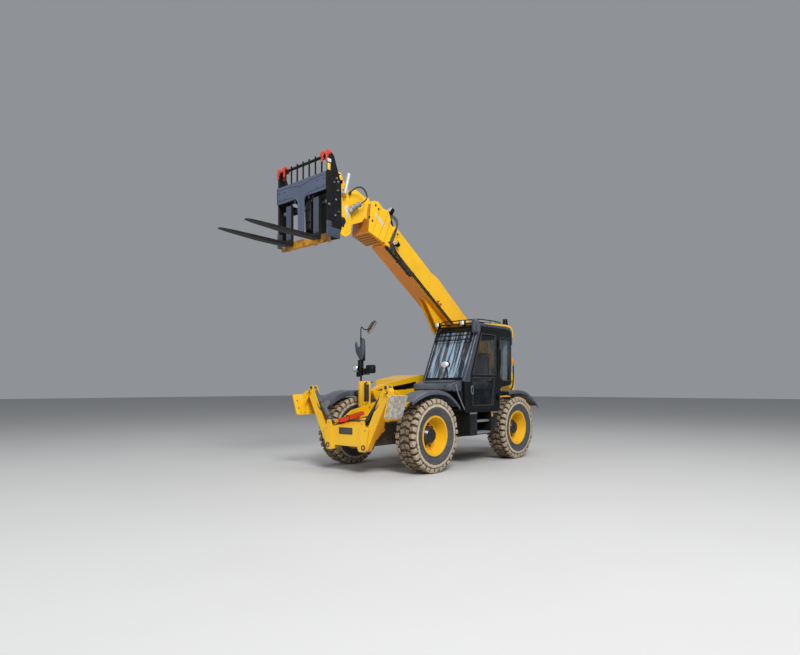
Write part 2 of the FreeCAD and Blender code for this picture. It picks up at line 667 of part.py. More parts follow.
def outer_boom():
    """The outer section: a deep box, open at the front, with the lift ram's gusset beneath."""
    half = OUTER_WIDTH / 2.0
    inner = half - BOOM_WALL
    # Columns: s, n, corner radius
    side = (
        (OUTER_FRONT, OUTER_TOP), (3480.0, OUTER_TOP, 60.0), (3250.0, 253.0, 60.0), (2840.0,
                                                                                     236.0), (2060.0, 210.0),
        (1330.0, 222.0, 40.0), (640.0, 206.0, 40.0), (220.0, 130.0, 60.0), (-115.0, 105.0, 100.0),
        (-115.0, -105.0, 100.0), (330.0, -165.0, 80.0), (590.0, OUTER_BOTTOM, 60.0), (OUTER_FRONT,
                                                                                      OUTER_BOTTOM),
    )
    shell = plate_xz(side, -half, half)
    cavity = block(MID_REAR - 20.0, OUTER_FRONT + 1.0, -inner, inner, OUTER_BOTTOM + BOOM_WALL,
                   OUTER_TOP - BOOM_WALL)
    mouth = block(OUTER_FRONT - PAD_LENGTH, OUTER_FRONT, -inner - 1.0, inner + 1.0, OUTER_BOTTOM + 1.0,
                  OUTER_TOP - 1.0)
    step = SECTION_STEP - WEAR_GAP
    way = block(OUTER_FRONT - PAD_LENGTH - 1.0, OUTER_FRONT + 1.0, -half + step, half - step,
                OUTER_BOTTOM + step, OUTER_TOP - step)
    shell = shell.cut(cavity).fuse(mouth.cut(way))
    bore = rod((0, -half - 200.0, 0), (0, half + 200.0, 0), PIVOT_RADIUS + RUN_FIT)
    bosses = [rod((0, s * (half - 5.0), 0), (0, s * (TOWER_GAP / 2.0 - 6.0), 0), 105.0) for s in (1, -1)]
    ear = [(905.0, 200.0), (870.0, 395.0, 40.0), (1000.0, 400.0, 40.0), (1260.0, 330.0, 60.0),
           (1330.0, 212.0)]
    ears = [plate_xz(ear, s - 12.0, s + 12.0) for s in (60.0, -60.0)]
    gusset = [(2030.0, OUTER_BOTTOM + 4.0), (LIFT_PIN_S - 130.0, LIFT_PIN_N - 60.0, 70.0),
              (LIFT_PIN_S + 90.0, LIFT_PIN_N - 75.0, 70.0), (3330.0, OUTER_BOTTOM + 4.0)]
    gap = LIFT_EYE_WIDTH / 2.0 + LIFT_SIDE_GAP
    gussets = [plate_xz(gusset, gap, gap + 22.0), plate_xz(gusset, -gap - 22.0, -gap)]
    return to_boom(fuse([shell] + bosses + ears + gussets).cut(bore))


def mid_boom():
    """The middle section with its deep front collar and the wear pads at its tail."""
    half = OUTER_WIDTH / 2.0 - SECTION_STEP
    low, high = OUTER_BOTTOM + SECTION_STEP, OUTER_TOP - SECTION_STEP
    wall = BOOM_WALL - 2.0
    front = MID_FRONT
    tube = block(MID_REAR, front, -half, half, low, high)
    tail_half = OUTER_WIDTH / 2.0 - BOOM_WALL - WEAR_GAP
    tail = block(MID_REAR, MID_REAR + PAD_LENGTH, -tail_half, tail_half,
                 OUTER_BOTTOM + BOOM_WALL + WEAR_GAP, OUTER_TOP - BOOM_WALL - WEAR_GAP)
    # Columns: s, n, corner radius
    collar = (
        (4828.0, -295.0, 20.0), (5208.0, -403.0, 30.0), (5426.0, 70.0, 30.0), (5400.0, 150.0, 30.0),
        (5312.0, 217.0, 40.0), (5154.0, 211.0, 30.0), (5030.0, 279.0, 60.0), (4900.0, 190.0, 30.0),
    )
    block_shape = plate_xz(collar, -COLLAR_HALF_WIDTH, COLLAR_HALF_WIDTH)
    inner = half - wall
    cavity = block(MID_REAR - 1.0, front + 60.0, -inner, inner, low + wall, high - wall)
    step = SECTION_STEP - WEAR_GAP
    way = block(front - 1.0, front + 450.0, -half + step, half - step, low + step, high - step)
    return to_boom(fuse([tube, tail, block_shape]).cut(cavity).cut(way))


def inner_boom():
    """The inner section with the head that carries the hitch."""
    half = OUTER_WIDTH / 2.0 - 2.0 * SECTION_STEP
    low, high = OUTER_BOTTOM + 2.0 * SECTION_STEP, OUTER_TOP - 2.0 * SECTION_STEP
    wall = BOOM_WALL - 2.0
    tube = block(INNER_REAR, INNER_FRONT, -half, half, low, high)
    mid_wall = OUTER_WIDTH / 2.0 - SECTION_STEP - wall - WEAR_GAP
    tail = block(INNER_REAR, INNER_REAR + PAD_LENGTH, -mid_wall, mid_wall,
                 OUTER_BOTTOM + SECTION_STEP + wall + WEAR_GAP, OUTER_TOP - SECTION_STEP - wall - WEAR_GAP)
    cavity = block(INNER_REAR - 1.0, INNER_FRONT - 20.0, -half + wall, half - wall, low + wall, high - wall)
    pin_s, pin_n = tilt_pin_in_boom()
    # Columns: s, n, corner radius
    head = (
        (5440.0, high), (5460.0, high + 30.0, 15.0), (5557.0, 30.0 + high / 2.0, 20.0), (5750.0, 57.0,
                                                                                         30.0), (5832.0, -32.0, 30.0),
        (pin_s + 60.0, pin_n + 150.0, 60.0), (pin_s + 92.0, pin_n - 60.0, 80.0), (pin_s - 60.0,
                                                                                  pin_n - 92.0, 80.0),
        (5513.0, -526.0, 40.0), (5352.0, -294.0, 30.0), (5352.0, low),
    )
    solid = plate_xz(head, -half, half)
    hollow = (
        (INNER_FRONT - 90.0, high - 30.0), (5740.0, 30.0, 20.0), (5800.0, -35.0, 20.0), (pin_s + 30.0,
                                                                                         pin_n + 190.0, 40.0),
        (pin_s - 40.0, pin_n + 130.0, 30.0), (5540.0, -510.0, 30.0), (5400.0, -300.0,
                                                                      20.0), (INNER_FRONT - 90.0,
                                                                              low + 20.0),
    )
    room = plate_xz(hollow, -half + 16.0, half - 16.0)
    bore = rod((pin_s, -half - 50.0, pin_n), (pin_s, half + 50.0, pin_n), TILT_PIN_RADIUS + RUN_FIT)
    return to_boom(fuse([tube, tail]).cut(cavity).fuse(solid.cut(room)).cut(bore))


def tilt_pin_in_boom():
    """The hitch pin's place in the boom's own plane."""
    angle = math.radians(BOOM_ANGLE)
    dx, dz = TILT_PIN_X - BOOM_PIVOT_X, TILT_PIN_Z - BOOM_PIVOT_Z
    return dx * math.cos(angle) + dz * math.sin(angle), -dx * math.sin(angle) + dz * math.cos(angle)


def tilt_pin():
    """The pin that the hitch turns on."""
    reach = HITCH_GAP / 2.0 + HITCH_PLATE + 22.0
    return rod((TILT_PIN_X, BOOM_Y - reach, TILT_PIN_Z), (TILT_PIN_X, BOOM_Y + reach, TILT_PIN_Z),
               TILT_PIN_RADIUS)


def hitch_frame():
    """Two tall plates either side of the boom's head, tied below it, with stub pins for the carriage."""
    x, z = TILT_PIN_X, TILT_PIN_Z
    # Columns: x and z from the tilt pin, corner radius
    rows = (
        (147.0, -204.0, 30.0), (157.0, 341.0, 0.0), (155.0, 699.0, 40.0), (45.0, 747.0, 40.0), (-136.0,
                                                                                                531.0, 60.0),
        (-205.0, -39.0, 60.0), (-182.0, -177.0, 40.0), (-68.0, -251.0, 60.0),
    )
    outline = [(x + dx, z + dz, radius) for dx, dz, radius in rows]
    near = HITCH_GAP / 2.0
    far = near + HITCH_PLATE
    pieces = [block(x + 119.0, x + 145.0, BOOM_Y - near - 1.0, BOOM_Y + near + 1.0, z - 180.0, z - 95.0)]
    for side in (1.0, -1.0):
        y0, y1 = sorted((BOOM_Y + side * near, BOOM_Y + side * far))
        pieces.append(plate_xz(outline, y0, y1))
        pieces.append(rod((CARRIAGE_PIN_X, BOOM_Y + side * (near + 4.0), CARRIAGE_PIN_Z),
                          (CARRIAGE_PIN_X, BOOM_Y + side * (far + 40.0), CARRIAGE_PIN_Z), 30.0))
    bore = rod((x, BOOM_Y - 2.0 * far, z), (x, BOOM_Y + 2.0 * far, z), TILT_PIN_RADIUS + RUN_FIT)
    return fuse(pieces).cut(bore)


def fork_carriage():
    """The fork carriage: a T-shaped front plate, two end plates, the ribs to the hitch and a bottom beam."""
    left, right = BOOM_Y + CARRIAGE_WIDTH / 2.0, BOOM_Y - CARRIAGE_WIDTH / 2.0
    front = CARRIAGE_FRONT
    back = front - BAND_THICKNESS
    post = POST_WIDTH / 2.0
    foot = CARRIAGE_BOTTOM + 182.0
    # Columns: y from the middle, z, corner radius, for the left half of the T
    half_tee = (
        (post - 30.0, foot, 10.0), (post, foot + 50.0, 10.0), (post, BAND_BOTTOM - 60.0, 30.0),
        (post + 40.0, BAND_BOTTOM, 40.0), (CARRIAGE_WIDTH / 2.0, BAND_BOTTOM,
                                           10.0), (CARRIAGE_WIDTH / 2.0, BAND_TOP, 10.0),
    )
    tee = [(BOOM_Y + y, z, r) for y, z, r in half_tee] + [(BOOM_Y - y, z, r) for y, z,
                                                          r in reversed(half_tee)]
    pieces = [plate_yz(tee, back, front)]
    # Columns: x from the plate's front, z, corner radius of an end plate
    rows = (
        (1.0 - BAND_THICKNESS, CARRIAGE_BOTTOM + 130.0, 20.0), (1.0 - BAND_THICKNESS, GUARD_TOP - 25.0,
                                                                20.0),
        (-84.0, GUARD_TOP + 25.0, 30.0), (-154.0, GUARD_TOP - 25.0, 30.0), (-304.0, BAND_BOTTOM + 140.0,
                                                                            60.0),
        (-314.0, CARRIAGE_BOTTOM + 232.0, 60.0), (-254.0, CARRIAGE_BOTTOM + 40.0, 30.0), (-104.0,
                                                                                          CARRIAGE_BOTTOM + 40.0, 30.0),
    )
    end = [(front + x, z, r) for x, z, r in rows]
    for y in (left - SIDE_PLATE, right):
        pieces.append(plate_xz(end, y, y + SIDE_PLATE))
    pin_x, pin_z = CARRIAGE_PIN_X, CARRIAGE_PIN_Z
    rib = [
        (pin_x - 55.0, pin_z - 64.0, 30.0), (pin_x - 30.0, pin_z + 66.0, 30.0), (pin_x + 120.0,
                                                                                 pin_z + 76.0, 40.0),
        (front - 294.0, BAND_TOP + 10.0, 60.0), (back + 1.0, BAND_TOP), (back + 1.0, BAND_BOTTOM - 40.0),
        (front - 234.0, BAND_BOTTOM - 120.0, 40.0), (front - 254.0, CARRIAGE_BOTTOM + 110.0, 30.0),
        (front - 474.0, CARRIAGE_BOTTOM + 110.0, 40.0), (front - 582.0, CARRIAGE_BOTTOM + 332.0, 30.0),
        (front - 582.0, BAND_TOP + 30.0, 30.0),
    ]
    for y in RIB_YS:
        pieces.append(plate_xz(rib, y, y + RIB_THICKNESS))
    low = CARRIAGE_BOTTOM
    beam = [(front - 284.0, low + 60.0, 10.0), (front - 114.0, low, 10.0), (front - 94.0, low + 14.0),
            (front - 94.0, low + 130.0, 10.0), (front - 274.0, low + 130.0, 10.0)]
    pieces.append(plate_xz(beam, right + 1.0, left - 1.0))
    pieces.append(block(front - 254.0, front - 194.0, right + 1.0, left - 1.0, BAND_BOTTOM + 60.0,
                        BAND_TOP - 90.0))
    pieces.append(rod((SHAFT_X, right + 1.0, SHAFT_Z), (SHAFT_X, left - 1.0, SHAFT_Z), SHAFT_RADIUS))
    reach = CARRIAGE_WIDTH / 3.0
    pin = rod((pin_x, BOOM_Y - reach, pin_z), (pin_x, BOOM_Y + reach, pin_z), 30.0 + SEAT_GAP)
    return fuse(pieces).cut(pin)


def load_guard():
    """The guard above the band: a top tube and seven upright bars behind it."""
    left = BOOM_Y + CARRIAGE_WIDTH / 2.0 - SIDE_PLATE - 1.0
    right = BOOM_Y - CARRIAGE_WIDTH / 2.0 + SIDE_PLATE + 1.0
    tube_x = CARRIAGE_FRONT - 69.0
    back, front = CARRIAGE_FRONT - 62.0, CARRIAGE_FRONT - 41.0
    foot = BAND_BOTTOM + 60.0
    pieces = [rod((tube_x, right, GUARD_TOP - 30.0), (tube_x, left, GUARD_TOP - 30.0), 22.0)]
    pitch = (left - right) / (GUARD_BARS + 1)
    for i in range(GUARD_BARS):
        y = right + (i + 1) * pitch
        pieces.append(block(back, front, y - 8.0, y + 8.0, foot, GUARD_TOP + 10.0))
    pieces.append(block(back - 12.0, front, right, left, foot, foot + 40.0))
    slots = []
    for y in RIB_YS:
        slots.append(block(back - 132.0, CARRIAGE_FRONT + 6.0, y - SEAT_GAP, y + RIB_THICKNESS + SEAT_GAP,
                           BAND_BOTTOM - 60.0, BAND_TOP + 60.0))
    return fuse(pieces).cut(slots)


def guard_hooks():
    """The two lobed hooks on top of the end plates."""
    # Columns: y from the end plate, z above the guard's top, corner radius
    rows = ((-SEAT_GAP, -150.0, 10.0), (-SEAT_GAP, 20.0, 30.0), (-70.0, 62.0, 40.0), (-150.0, 40.0, 40.0),
            (-172.0, -40.0, 30.0), (-120.0, -60.0, 20.0),
            (-100.0, -16.0, 20.0), (-62.0, -16.0, 20.0), (-58.0, -150.0, 10.0))
    middle = CARRIAGE_WIDTH / 2.0 - SIDE_PLATE
    x = CARRIAGE_FRONT - 100.0
    left = plate_yz([(middle + y, GUARD_TOP + z, r) for y, z, r in rows], x - HOOK_THICKNESS, x)
    pair = [left, mirrored(left)]
    return [shape.translated(Vector(0, BOOM_Y, 0)) for shape in pair]


def forks():
    """Two forged forks hung on the carriage's shaft."""
    front, top, thick = FORK_FACE, FORK_TOP, FORK_THICKNESS
    tip = front + FORK_LENGTH
    heel = [
        (front, FORK_SHANK_TOP, 12.0), (front, top, 25.0), (front + FORK_LENGTH * 0.55, top), (tip,
                                                                                               top - 6.0),
        (tip, top - 16.0), (front + FORK_LENGTH * 0.45, top - thick), (front - thick, top - thick, 45.0),
        (front - thick, FORK_SHANK_TOP, 12.0),
    ]
    hook = front - thick + 2.0
    hanger = [
        (hook, FORK_SHANK_TOP - 8.0, 5.0), (hook, SHAFT_Z - 80.0, 5.0), (SHAFT_X - 46.0, SHAFT_Z - 50.0,
                                                                         40.0),
        (SHAFT_X - 46.0, FORK_SHANK_TOP - 8.0, 40.0),
    ]
    half = FORK_WIDTH / 2.0
    shapes = []
    for side in (1, -1):
        y = BOOM_Y + side * FORK_SPREAD / 2.0
        fork = plate_xz(heel, y - half, y + half)
        for edge in (1, -1):
            corner = [(tip + 5.0, y + edge * (half - 34.0)), (tip + 5.0, y + edge * (half + 30.0)),
                      (tip - 190.0, y + edge * (half + 30.0)),
                      (tip - 190.0, y + edge * half), (tip - 40.0, y + edge * (half - 18.0))]
            fork = fork.cut(plate_xy(corner, top - 2.0 * thick, top + thick))
        eye = rod((SHAFT_X, y - half, SHAFT_Z), (SHAFT_X, y + half, SHAFT_Z), SHAFT_RADIUS + SEAT_GAP)
        shapes.append(fork.fuse(plate_xz(hanger, y - 45.0, y + 45.0)).removeSplitter().cut(eye))
    return Part.makeCompound(shapes)


def round_point(y, z, radius, angle):
    """A point on a circle in YZ."""
    return Vector(0, y + radius * math.cos(angle), z + radius * math.sin(angle))


def link_outline(y0, z0, r0, y1, z1, r1):
    """The outline in YZ of a bar that tapers between two round ends, as a face's wire."""
    length = math.hypot(y1 - y0, z1 - z0)
    along = math.atan2(z1 - z0, y1 - y0)
    lean = math.acos((r0 - r1) / length)
    a0 = round_point(y0, z0, r0, along + lean)
    b0 = round_point(y0, z0, r0, along - lean)
    a1 = round_point(y1, z1, r1, along + lean)
    b1 = round_point(y1, z1, r1, along - lean)
    near = round_point(y0, z0, r0, along + math.pi)
    far = round_point(y1, z1, r1, along)
    return Part.Wire([
        Part.Arc(a0, near, b0).toShape(),
        Part.LineSegment(b0, b1).toShape(),
        Part.Arc(b1, far, a1).toShape(),
        Part.LineSegment(a1, a0).toShape(),
    ])


def link_yz(start, r0, end, r1, x0, x1):
    """A bar of two round ends in YZ, from x0 to x1."""
    face = Part.Face(link_outline(start[0], start[1], r0, end[0], end[1], r1))
    face.translate(Vector(x0, 0, 0))
    return face.extrude(Vector(x1 - x0, 0, 0))


def leg_lean():
    """How far the raised leg leans outwards from upright, in radians."""
    return math.atan2(FOOT_PIN_Y - LEG_PIN_Y, FOOT_PIN_Z - LEG_PIN_Z)


def leg_point(along, out):
    """The Y and Z of a point along the left leg and out from its middle line."""
    lean = leg_lean()
    y = LEG_PIN_Y + along * math.sin(lean) + out * math.cos(lean)
    z = LEG_PIN_Z + along * math.cos(lean) - out * math.sin(lean)
    return y, z


def leg_flange():
    """The deep flange behind the leg's lower half, with a lug bored for a tie-down hook."""
    half = LEG_THICKNESS / 2.0
    back = LEG_X - half
    # Columns: x, distance along the leg, corner radius
    rows = ((back + 2.0, 150.0, 0.0), (back - 60.0, 190.0, 30.0), (back - 100.0, 300.0, 30.0),
            (back - 96.0, 420.0, 30.0), (back + 2.0, 640.0, 0.0))
    plate = plate_xz(list(rows), LEG_BASE_RADIUS - 38.0, LEG_BASE_RADIUS - 22.0)
    lug = rod((back - 100.0, LEG_BASE_RADIUS - 38.0, 350.0),
              (back - 100.0, LEG_BASE_RADIUS - 22.0, 350.0), 44.0)
    hole = rod((back - 106.0, 0.0, 350.0), (back - 106.0, 200.0, 350.0), LUG_HOLE_RADIUS)
    flange = plate.fuse(lug).cut(hole)
    flange.rotate(Vector(0, 0, 0), Vector(1, 0, 0), -math.degrees(leg_lean()))
    flange.translate(Vector(0, LEG_PIN_Y, LEG_PIN_Z))
    return flange


def stabiliser_leg():
    """The left leg: a channel open inwards, so that its ram lies in it when it is up."""
    base, foot, ram = (LEG_PIN_Y, LEG_PIN_Z), (FOOT_PIN_Y, FOOT_PIN_Z), (LEG_RAM_PIN_Y, LEG_RAM_PIN_Z)
    half = LEG_THICKNESS / 2.0
    r0, r1 = LEG_BASE_RADIUS, LEG_TOP_RADIUS
    body = fuse([
        link_yz(base, r0, foot, r1, LEG_X - half, LEG_X + half),
        link_yz(base, r0, ram, r1 - 6.0, LEG_X - half, LEG_X + half),
        link_yz(foot, r1, ram, r1 - 6.0, LEG_X - half, LEG_X + half),
        leg_flange(),
    ])
    web = half - 12.0
    reach = math.hypot(FOOT_PIN_Y - LEG_PIN_Y, FOOT_PIN_Z - LEG_PIN_Z)
    pocket = plate_yz([
        leg_point(150.0, 30.0), leg_point(reach - 50.0, 16.0),
        (FOOT_PIN_Y + 20.0, LEG_RAM_PIN_Z - 20.0), (FOOT_PIN_Y + 60.0, LEG_RAM_PIN_Z + 100.0),
        (LEG_RAM_PIN_Y - 200.0, LEG_RAM_PIN_Z + 100.0), (LEG_PIN_Y - 120.0,
                                                         LEG_PIN_Z + 340.0)], LEG_X - web, LEG_X + web)
    leg = body.cut(pocket)
    far = LEG_X + half + 48.0
    pin = rod((LEG_X - half - 30.0, FOOT_PIN_Y, FOOT_PIN_Z), (far, FOOT_PIN_Y, FOOT_PIN_Z), 18.0)
    gap = rod((LEG_X - web, FOOT_PIN_Y, FOOT_PIN_Z), (LEG_X + web, FOOT_PIN_Y, FOOT_PIN_Z), 20.0)
    bore = rod((LEG_X - 2.0 * half, LEG_PIN_Y, LEG_PIN_Z), (LEG_X + 2.0 * half, LEG_PIN_Y, LEG_PIN_Z),
               LEG_PIN_RADIUS + RUN_FIT)
    return leg.fuse(pin.cut(gap)).cut(bore)


def stabiliser_foot():
    """The left foot: a flat sole with two ears that hang on the leg's pin, leaning as the leg does."""
    length, height, thick = FOOT_SIZE
    top = FOOT_PIN_Z + 20.0
    face = FOOT_PIN_Y + FOOT_REACH
    x0, x1 = FOOT_X - length / 2.0, FOOT_X + length / 2.0
    sole = plate_xz([(x0, top, 25.0), (x1, top, 25.0), (x1 - 10.0, top - height, 25.0),
                     (x0 + 20.0, top - height, 25.0)], face - thick, face)
    half = LEG_THICKNESS / 2.0 + MOVE_GAP
    back = face - thick + 2.0
    ear = [(back, top - 6.0), (back, top - 260.0), (FOOT_PIN_Y + 30.0, FOOT_PIN_Z - 45.0, 20.0),
           (FOOT_PIN_Y - 42.0, FOOT_PIN_Z - 42.0, 38.0),
           (FOOT_PIN_Y - 42.0, FOOT_PIN_Z + 42.0, 38.0), (FOOT_PIN_Y + 60.0, FOOT_PIN_Z + 42.0, 30.0)]
    pieces = [sole]
    for x in (LEG_X - half - 14.0, LEG_X + half):
        pieces.append(plate_yz(ear, x, x + 14.0))
    # Drain holes through the sole
    holes = [rod((x1 - 70.0, face - 60.0, top - z), (x1 - 70.0, face + 10.0, top - z),
                 20.0) for z in (120.0, 260.0)]
    pivot = rod((LEG_X - 200.0, FOOT_PIN_Y, FOOT_PIN_Z), (LEG_X + 200.0, FOOT_PIN_Y, FOOT_PIN_Z),
                18.0 + RUN_FIT)
    foot = fuse(pieces).cut(holes + [pivot])
    foot.rotate(Vector(0, FOOT_PIN_Y, FOOT_PIN_Z), Vector(1, 0, 0), -FOOT_LEAN)
    return foot


def ram_barrel(start, end, length, radius, eye_radius, eye_width, pin_radius, bore, axis):
    """A ram's barrel from its eye towards the other eye, bored for its rod."""
    a, b = Vector(*start), Vector(*end)
    way = b - a
    way.normalize()
    side = Vector(*axis)
    eye = Part.makeCylinder(eye_radius, eye_width, a - side * (eye_width / 2.0), side)
    neck = Part.makeCylinder(eye_width * 0.47, eye_radius * 1.4, a + way * (eye_radius * 0.2), way)
    body = Part.makeCylinder(radius, length - eye_radius * 1.5, a + way * (eye_radius * 1.5), way)
    hole = Part.makeCylinder(bore + RUN_FIT, length, a + way * (eye_radius * 1.5 + 25.0), way)
    pin = Part.makeCylinder(pin_radius + RUN_FIT, eye_width + 2.0, a - side * (eye_width / 2.0 + 1.0), side)
    return fuse([eye, neck, body]).cut([hole, pin])


def ram_rod(start, end, reach, radius, eye_radius, eye_width, axis):
    """A ram's rod: its eye with a short pin at the far end, and the bar that runs back into the barrel."""
    a, b = Vector(*start), Vector(*end)
    way = a - b
    way.normalize()
    side = Vector(*axis)
    eye = Part.makeCylinder(eye_radius, eye_width, b - side * (eye_width / 2.0), side)
    bar = Part.makeCylinder(radius, reach, b, way)
    return eye.fuse(bar).removeSplitter()


def cab_profile(inset):
    """The cab's side outline in XZ, drawn in by an inset."""
    i = inset
    return [
        (CAB_FRONT - 20.0 - i, CAB_FLOOR + i, 30.0),
        (CAB_FRONT - i, CAB_SILL, 20.0),
        (BROW_X - i * 0.8, BROW_Z - i * 0.5, 140.0),
        (ROOF_FRONT, CAB_ROOF - i, 60.0),
        (ROOF_REAR + i, CAB_ROOF - i, 60.0),
        (CAB_REAR + i, CAB_ROOF - 140.0, 40.0),
        (CAB_REAR + i, CAB_SILL - 80.0 + i, 40.0),
        (CAB_REAR + 400.0 + i, CAB_SILL - 130.0 + i, 60.0),
        (CAB_REAR + 450.0 + i, CAB_FLOOR + i, 30.0),
    ]


def doorway():
    """The doorway's outline in XZ."""
    return [
        (DOOR_FRONT, DOOR_BOTTOM, 20.0),
        (DOOR_FRONT + 20.0, CAB_SILL, 20.0),
        (BROW_X - 75.0, DOOR_TOP, 60.0),
        (DOOR_REAR, DOOR_TOP, 30.0),
        (DOOR_REAR, DOOR_BOTTOM, 30.0),
    ]


def cab_windows(gap):
    """The outlines of the cab's fixed windows, drawn in by a gap."""
    front, rear = DOOR_REAR - 85.0 - gap, CAB_REAR + 60.0 + gap
    low, high = CAB_SILL + gap, WINDOW_TOP - gap
    near, far = CAB_INNER_Y + CAB_POST + gap, CAB_OUTER_Y - CAB_POST - gap
    hatch_front, hatch_rear = ROOF_FRONT - 70.0 - gap, ROOF_REAR + 280.0 + gap
    side_rear, side_top = DOOR_REAR + 15.0 + gap, DOOR_TOP - 40.0 - gap
    return {
        "quarter": [(front, low + 60.0, 30.0), (front, high, 30.0), (rear, high, 30.0), (rear, low, 30.0),
                    (front - 100.0, low, 30.0)],
        "right": [(DOOR_FRONT - 45.0 - gap, low - 20.0, 30.0), (BROW_X - 115.0 - gap, side_top, 50.0),
                  (side_rear, side_top, 30.0), (side_rear, low - 20.0, 30.0)],
        "front": [(near, low + 45.0, 30.0), (far, low + 45.0, 30.0), (far, DOOR_TOP - 20.0 - gap, 60.0),
                  (near, DOOR_TOP - 20.0 - gap, 60.0)],
        "rear": [(near, low, 30.0), (far, low, 30.0), (far, high, 30.0), (near, high, 30.0)],
        "roof": [(hatch_front, near + 35.0, 30.0), (hatch_front, far - 35.0, 30.0),
                 (hatch_rear, far - 35.0, 30.0), (hatch_rear, near + 35.0, 30.0)],
    }


def cab_frame():
    """The cab's hollow shell, with its doorway and windows cut."""
    shell = plate_xz(cab_profile(0.0), CAB_INNER_Y, CAB_OUTER_Y)
    room = plate_xz(cab_profile(CAB_WALL), CAB_INNER_Y + CAB_WALL, CAB_OUTER_Y - CAB_WALL)
    cab = shell.cut(room)
    cab = cab.cut(plate_xz(doorway(), CAB_OUTER_Y - CAB_WALL - 1.0, CAB_OUTER_Y + 1.0))
    windows = cab_windows(0.0)
    cab = cab.cut(plate_xz(windows["quarter"], CAB_INNER_Y - 1.0, CAB_OUTER_Y + 1.0))
    cab = cab.cut(plate_xz(windows["right"], CAB_INNER_Y - 1.0, CAB_INNER_Y + CAB_WALL + 1.0))
    cab = cab.cut(plate_yz(windows["front"], ROOF_FRONT - 10.0, CAB_FRONT + 10.0))
    cab = cab.cut(plate_yz(windows["rear"], CAB_REAR - 1.0, CAB_REAR + CAB_WALL + 1.0))
    cab = cab.cut(plate_xy(windows["roof"], CAB_ROOF - CAB_WALL - 1.0, CAB_ROOF + 1.0))
    return fuse([cab] + door_hinges(0.0))


def cab_glass():
    """The fixed panes, each set in its window with a narrow gap."""
    mid = CAB_WALL / 2.0
    half = GLASS / 2.0
    windows = cab_windows(SEAT_GAP)
    panes = []
    for y in (CAB_OUTER_Y - mid, CAB_INNER_Y + mid):
        panes.append(plate_xz(windows["quarter"], y - half, y + half))
    panes.append(plate_xz(windows["right"], CAB_INNER_Y + mid - half, CAB_INNER_Y + mid + half))
    panes.append(plate_yz(windows["rear"], CAB_REAR + mid, CAB_REAR + mid + GLASS))
    panes.append(plate_xy(windows["roof"], CAB_ROOF - mid, CAB_ROOF - mid + GLASS))
    near, far = CAB_INNER_Y + CAB_POST + SEAT_GAP, CAB_OUTER_Y - CAB_POST - SEAT_GAP
    outer = plate_xz(cab_profile(mid - half), near, far)
    under = plate_xz(cab_profile(mid + half), CAB_INNER_Y, CAB_OUTER_Y)
    window = plate_yz(windows["front"], ROOF_FRONT - 10.0, CAB_FRONT + 10.0)
    panes.append(outer.cut(under).common(window))
    return Part.makeCompound(panes)


def shrunk(points, gap):
    """An outline drawn in by a gap, for a convex outline given in order."""
    cx = sum(p[0] for p in points) / len(points)
    cz = sum(p[1] for p in points) / len(points)
    out = []
    for p in points:
        sx = -gap if p[0] > cx else gap
        sz = -gap if p[1] > cz else gap
        out.append((p[0] + sx, p[1] + sz) + tuple(p[2:]))
    return out


def door_hinges(lift):
    """Hinge barrels with their leaves at the door's rear edge, for the cab or, lifted, for the door."""
    pieces = []
    side = -1.0 if lift > 0 else 1.0
    for z in DOOR_HINGE_ZS:
        low = z + lift
        pieces.append(Part.makeCylinder(DOOR_HINGE_RADIUS, 60.0, Vector(DOOR_REAR, DOOR_HINGE_Y, low)))
        x0, x1 = sorted((DOOR_REAR, DOOR_REAR - side * 40.0))
        pieces.append(block(x0, x1, CAB_OUTER_Y - 2.0, DOOR_HINGE_Y + 4.0, low, low + 60.0))
    return pieces


def cab_door():
    """The door's frame with its upper and lower windows."""
    outline = shrunk(doorway(), DOOR_GAP)
    y0, y1 = CAB_OUTER_Y - CAB_WALL, CAB_OUTER_Y
    door = plate_xz(outline, y0, y1)
    upper, lower = door_windows()
    door = door.cut(plate_xz(upper, y0 - 1.0, y1 + 1.0)).cut(plate_xz(lower, y0 - 1.0, y1 + 1.0))
    return fuse([door] + door_hinges(60.0 + SEAT_GAP))


def door_windows():
    """The outlines of the door's two panes."""
    front, rear, top = DOOR_FRONT - 75.0, DOOR_REAR + DOOR_EDGE, DOOR_TOP - DOOR_EDGE
    low, rail = DOOR_BOTTOM + 90.0, DOOR_SILL - DOOR_RAIL
    upper = [(front - 5.0, DOOR_SILL, 40.0), (BROW_X - 115.0, top, 60.0), (rear, top, 40.0),
             (rear, DOOR_SILL, 40.0)]
    lower = [(front, low, 40.0), (front, rail, 40.0), (rear + 45.0, rail, 40.0), (rear + 105.0, low, 60.0)]
    return upper, lower


def door_glass():
    """The door's two panes."""
    y = CAB_OUTER_Y - CAB_WALL / 2.0
    return Part.makeCompound([plate_xz(shrunk(w, SEAT_GAP), y - GLASS / 2.0,
                                       y + GLASS / 2.0) for w in door_windows()])


def front_cowl():
    """The cover in front of the windscreen."""
    back = CAB_FRONT + SEAT_GAP
    side = [(back, 1375.0), (CAB_FRONT + 240.0, 1375.0, 30.0), (CAB_FRONT + 280.0, 1410.0, 30.0),
            (CAB_FRONT + 270.0, 1505.0, 30.0), (back, 1568.0)]
    return plate_xz(side, CAB_INNER_Y, CAB_OUTER_Y - 60.0)


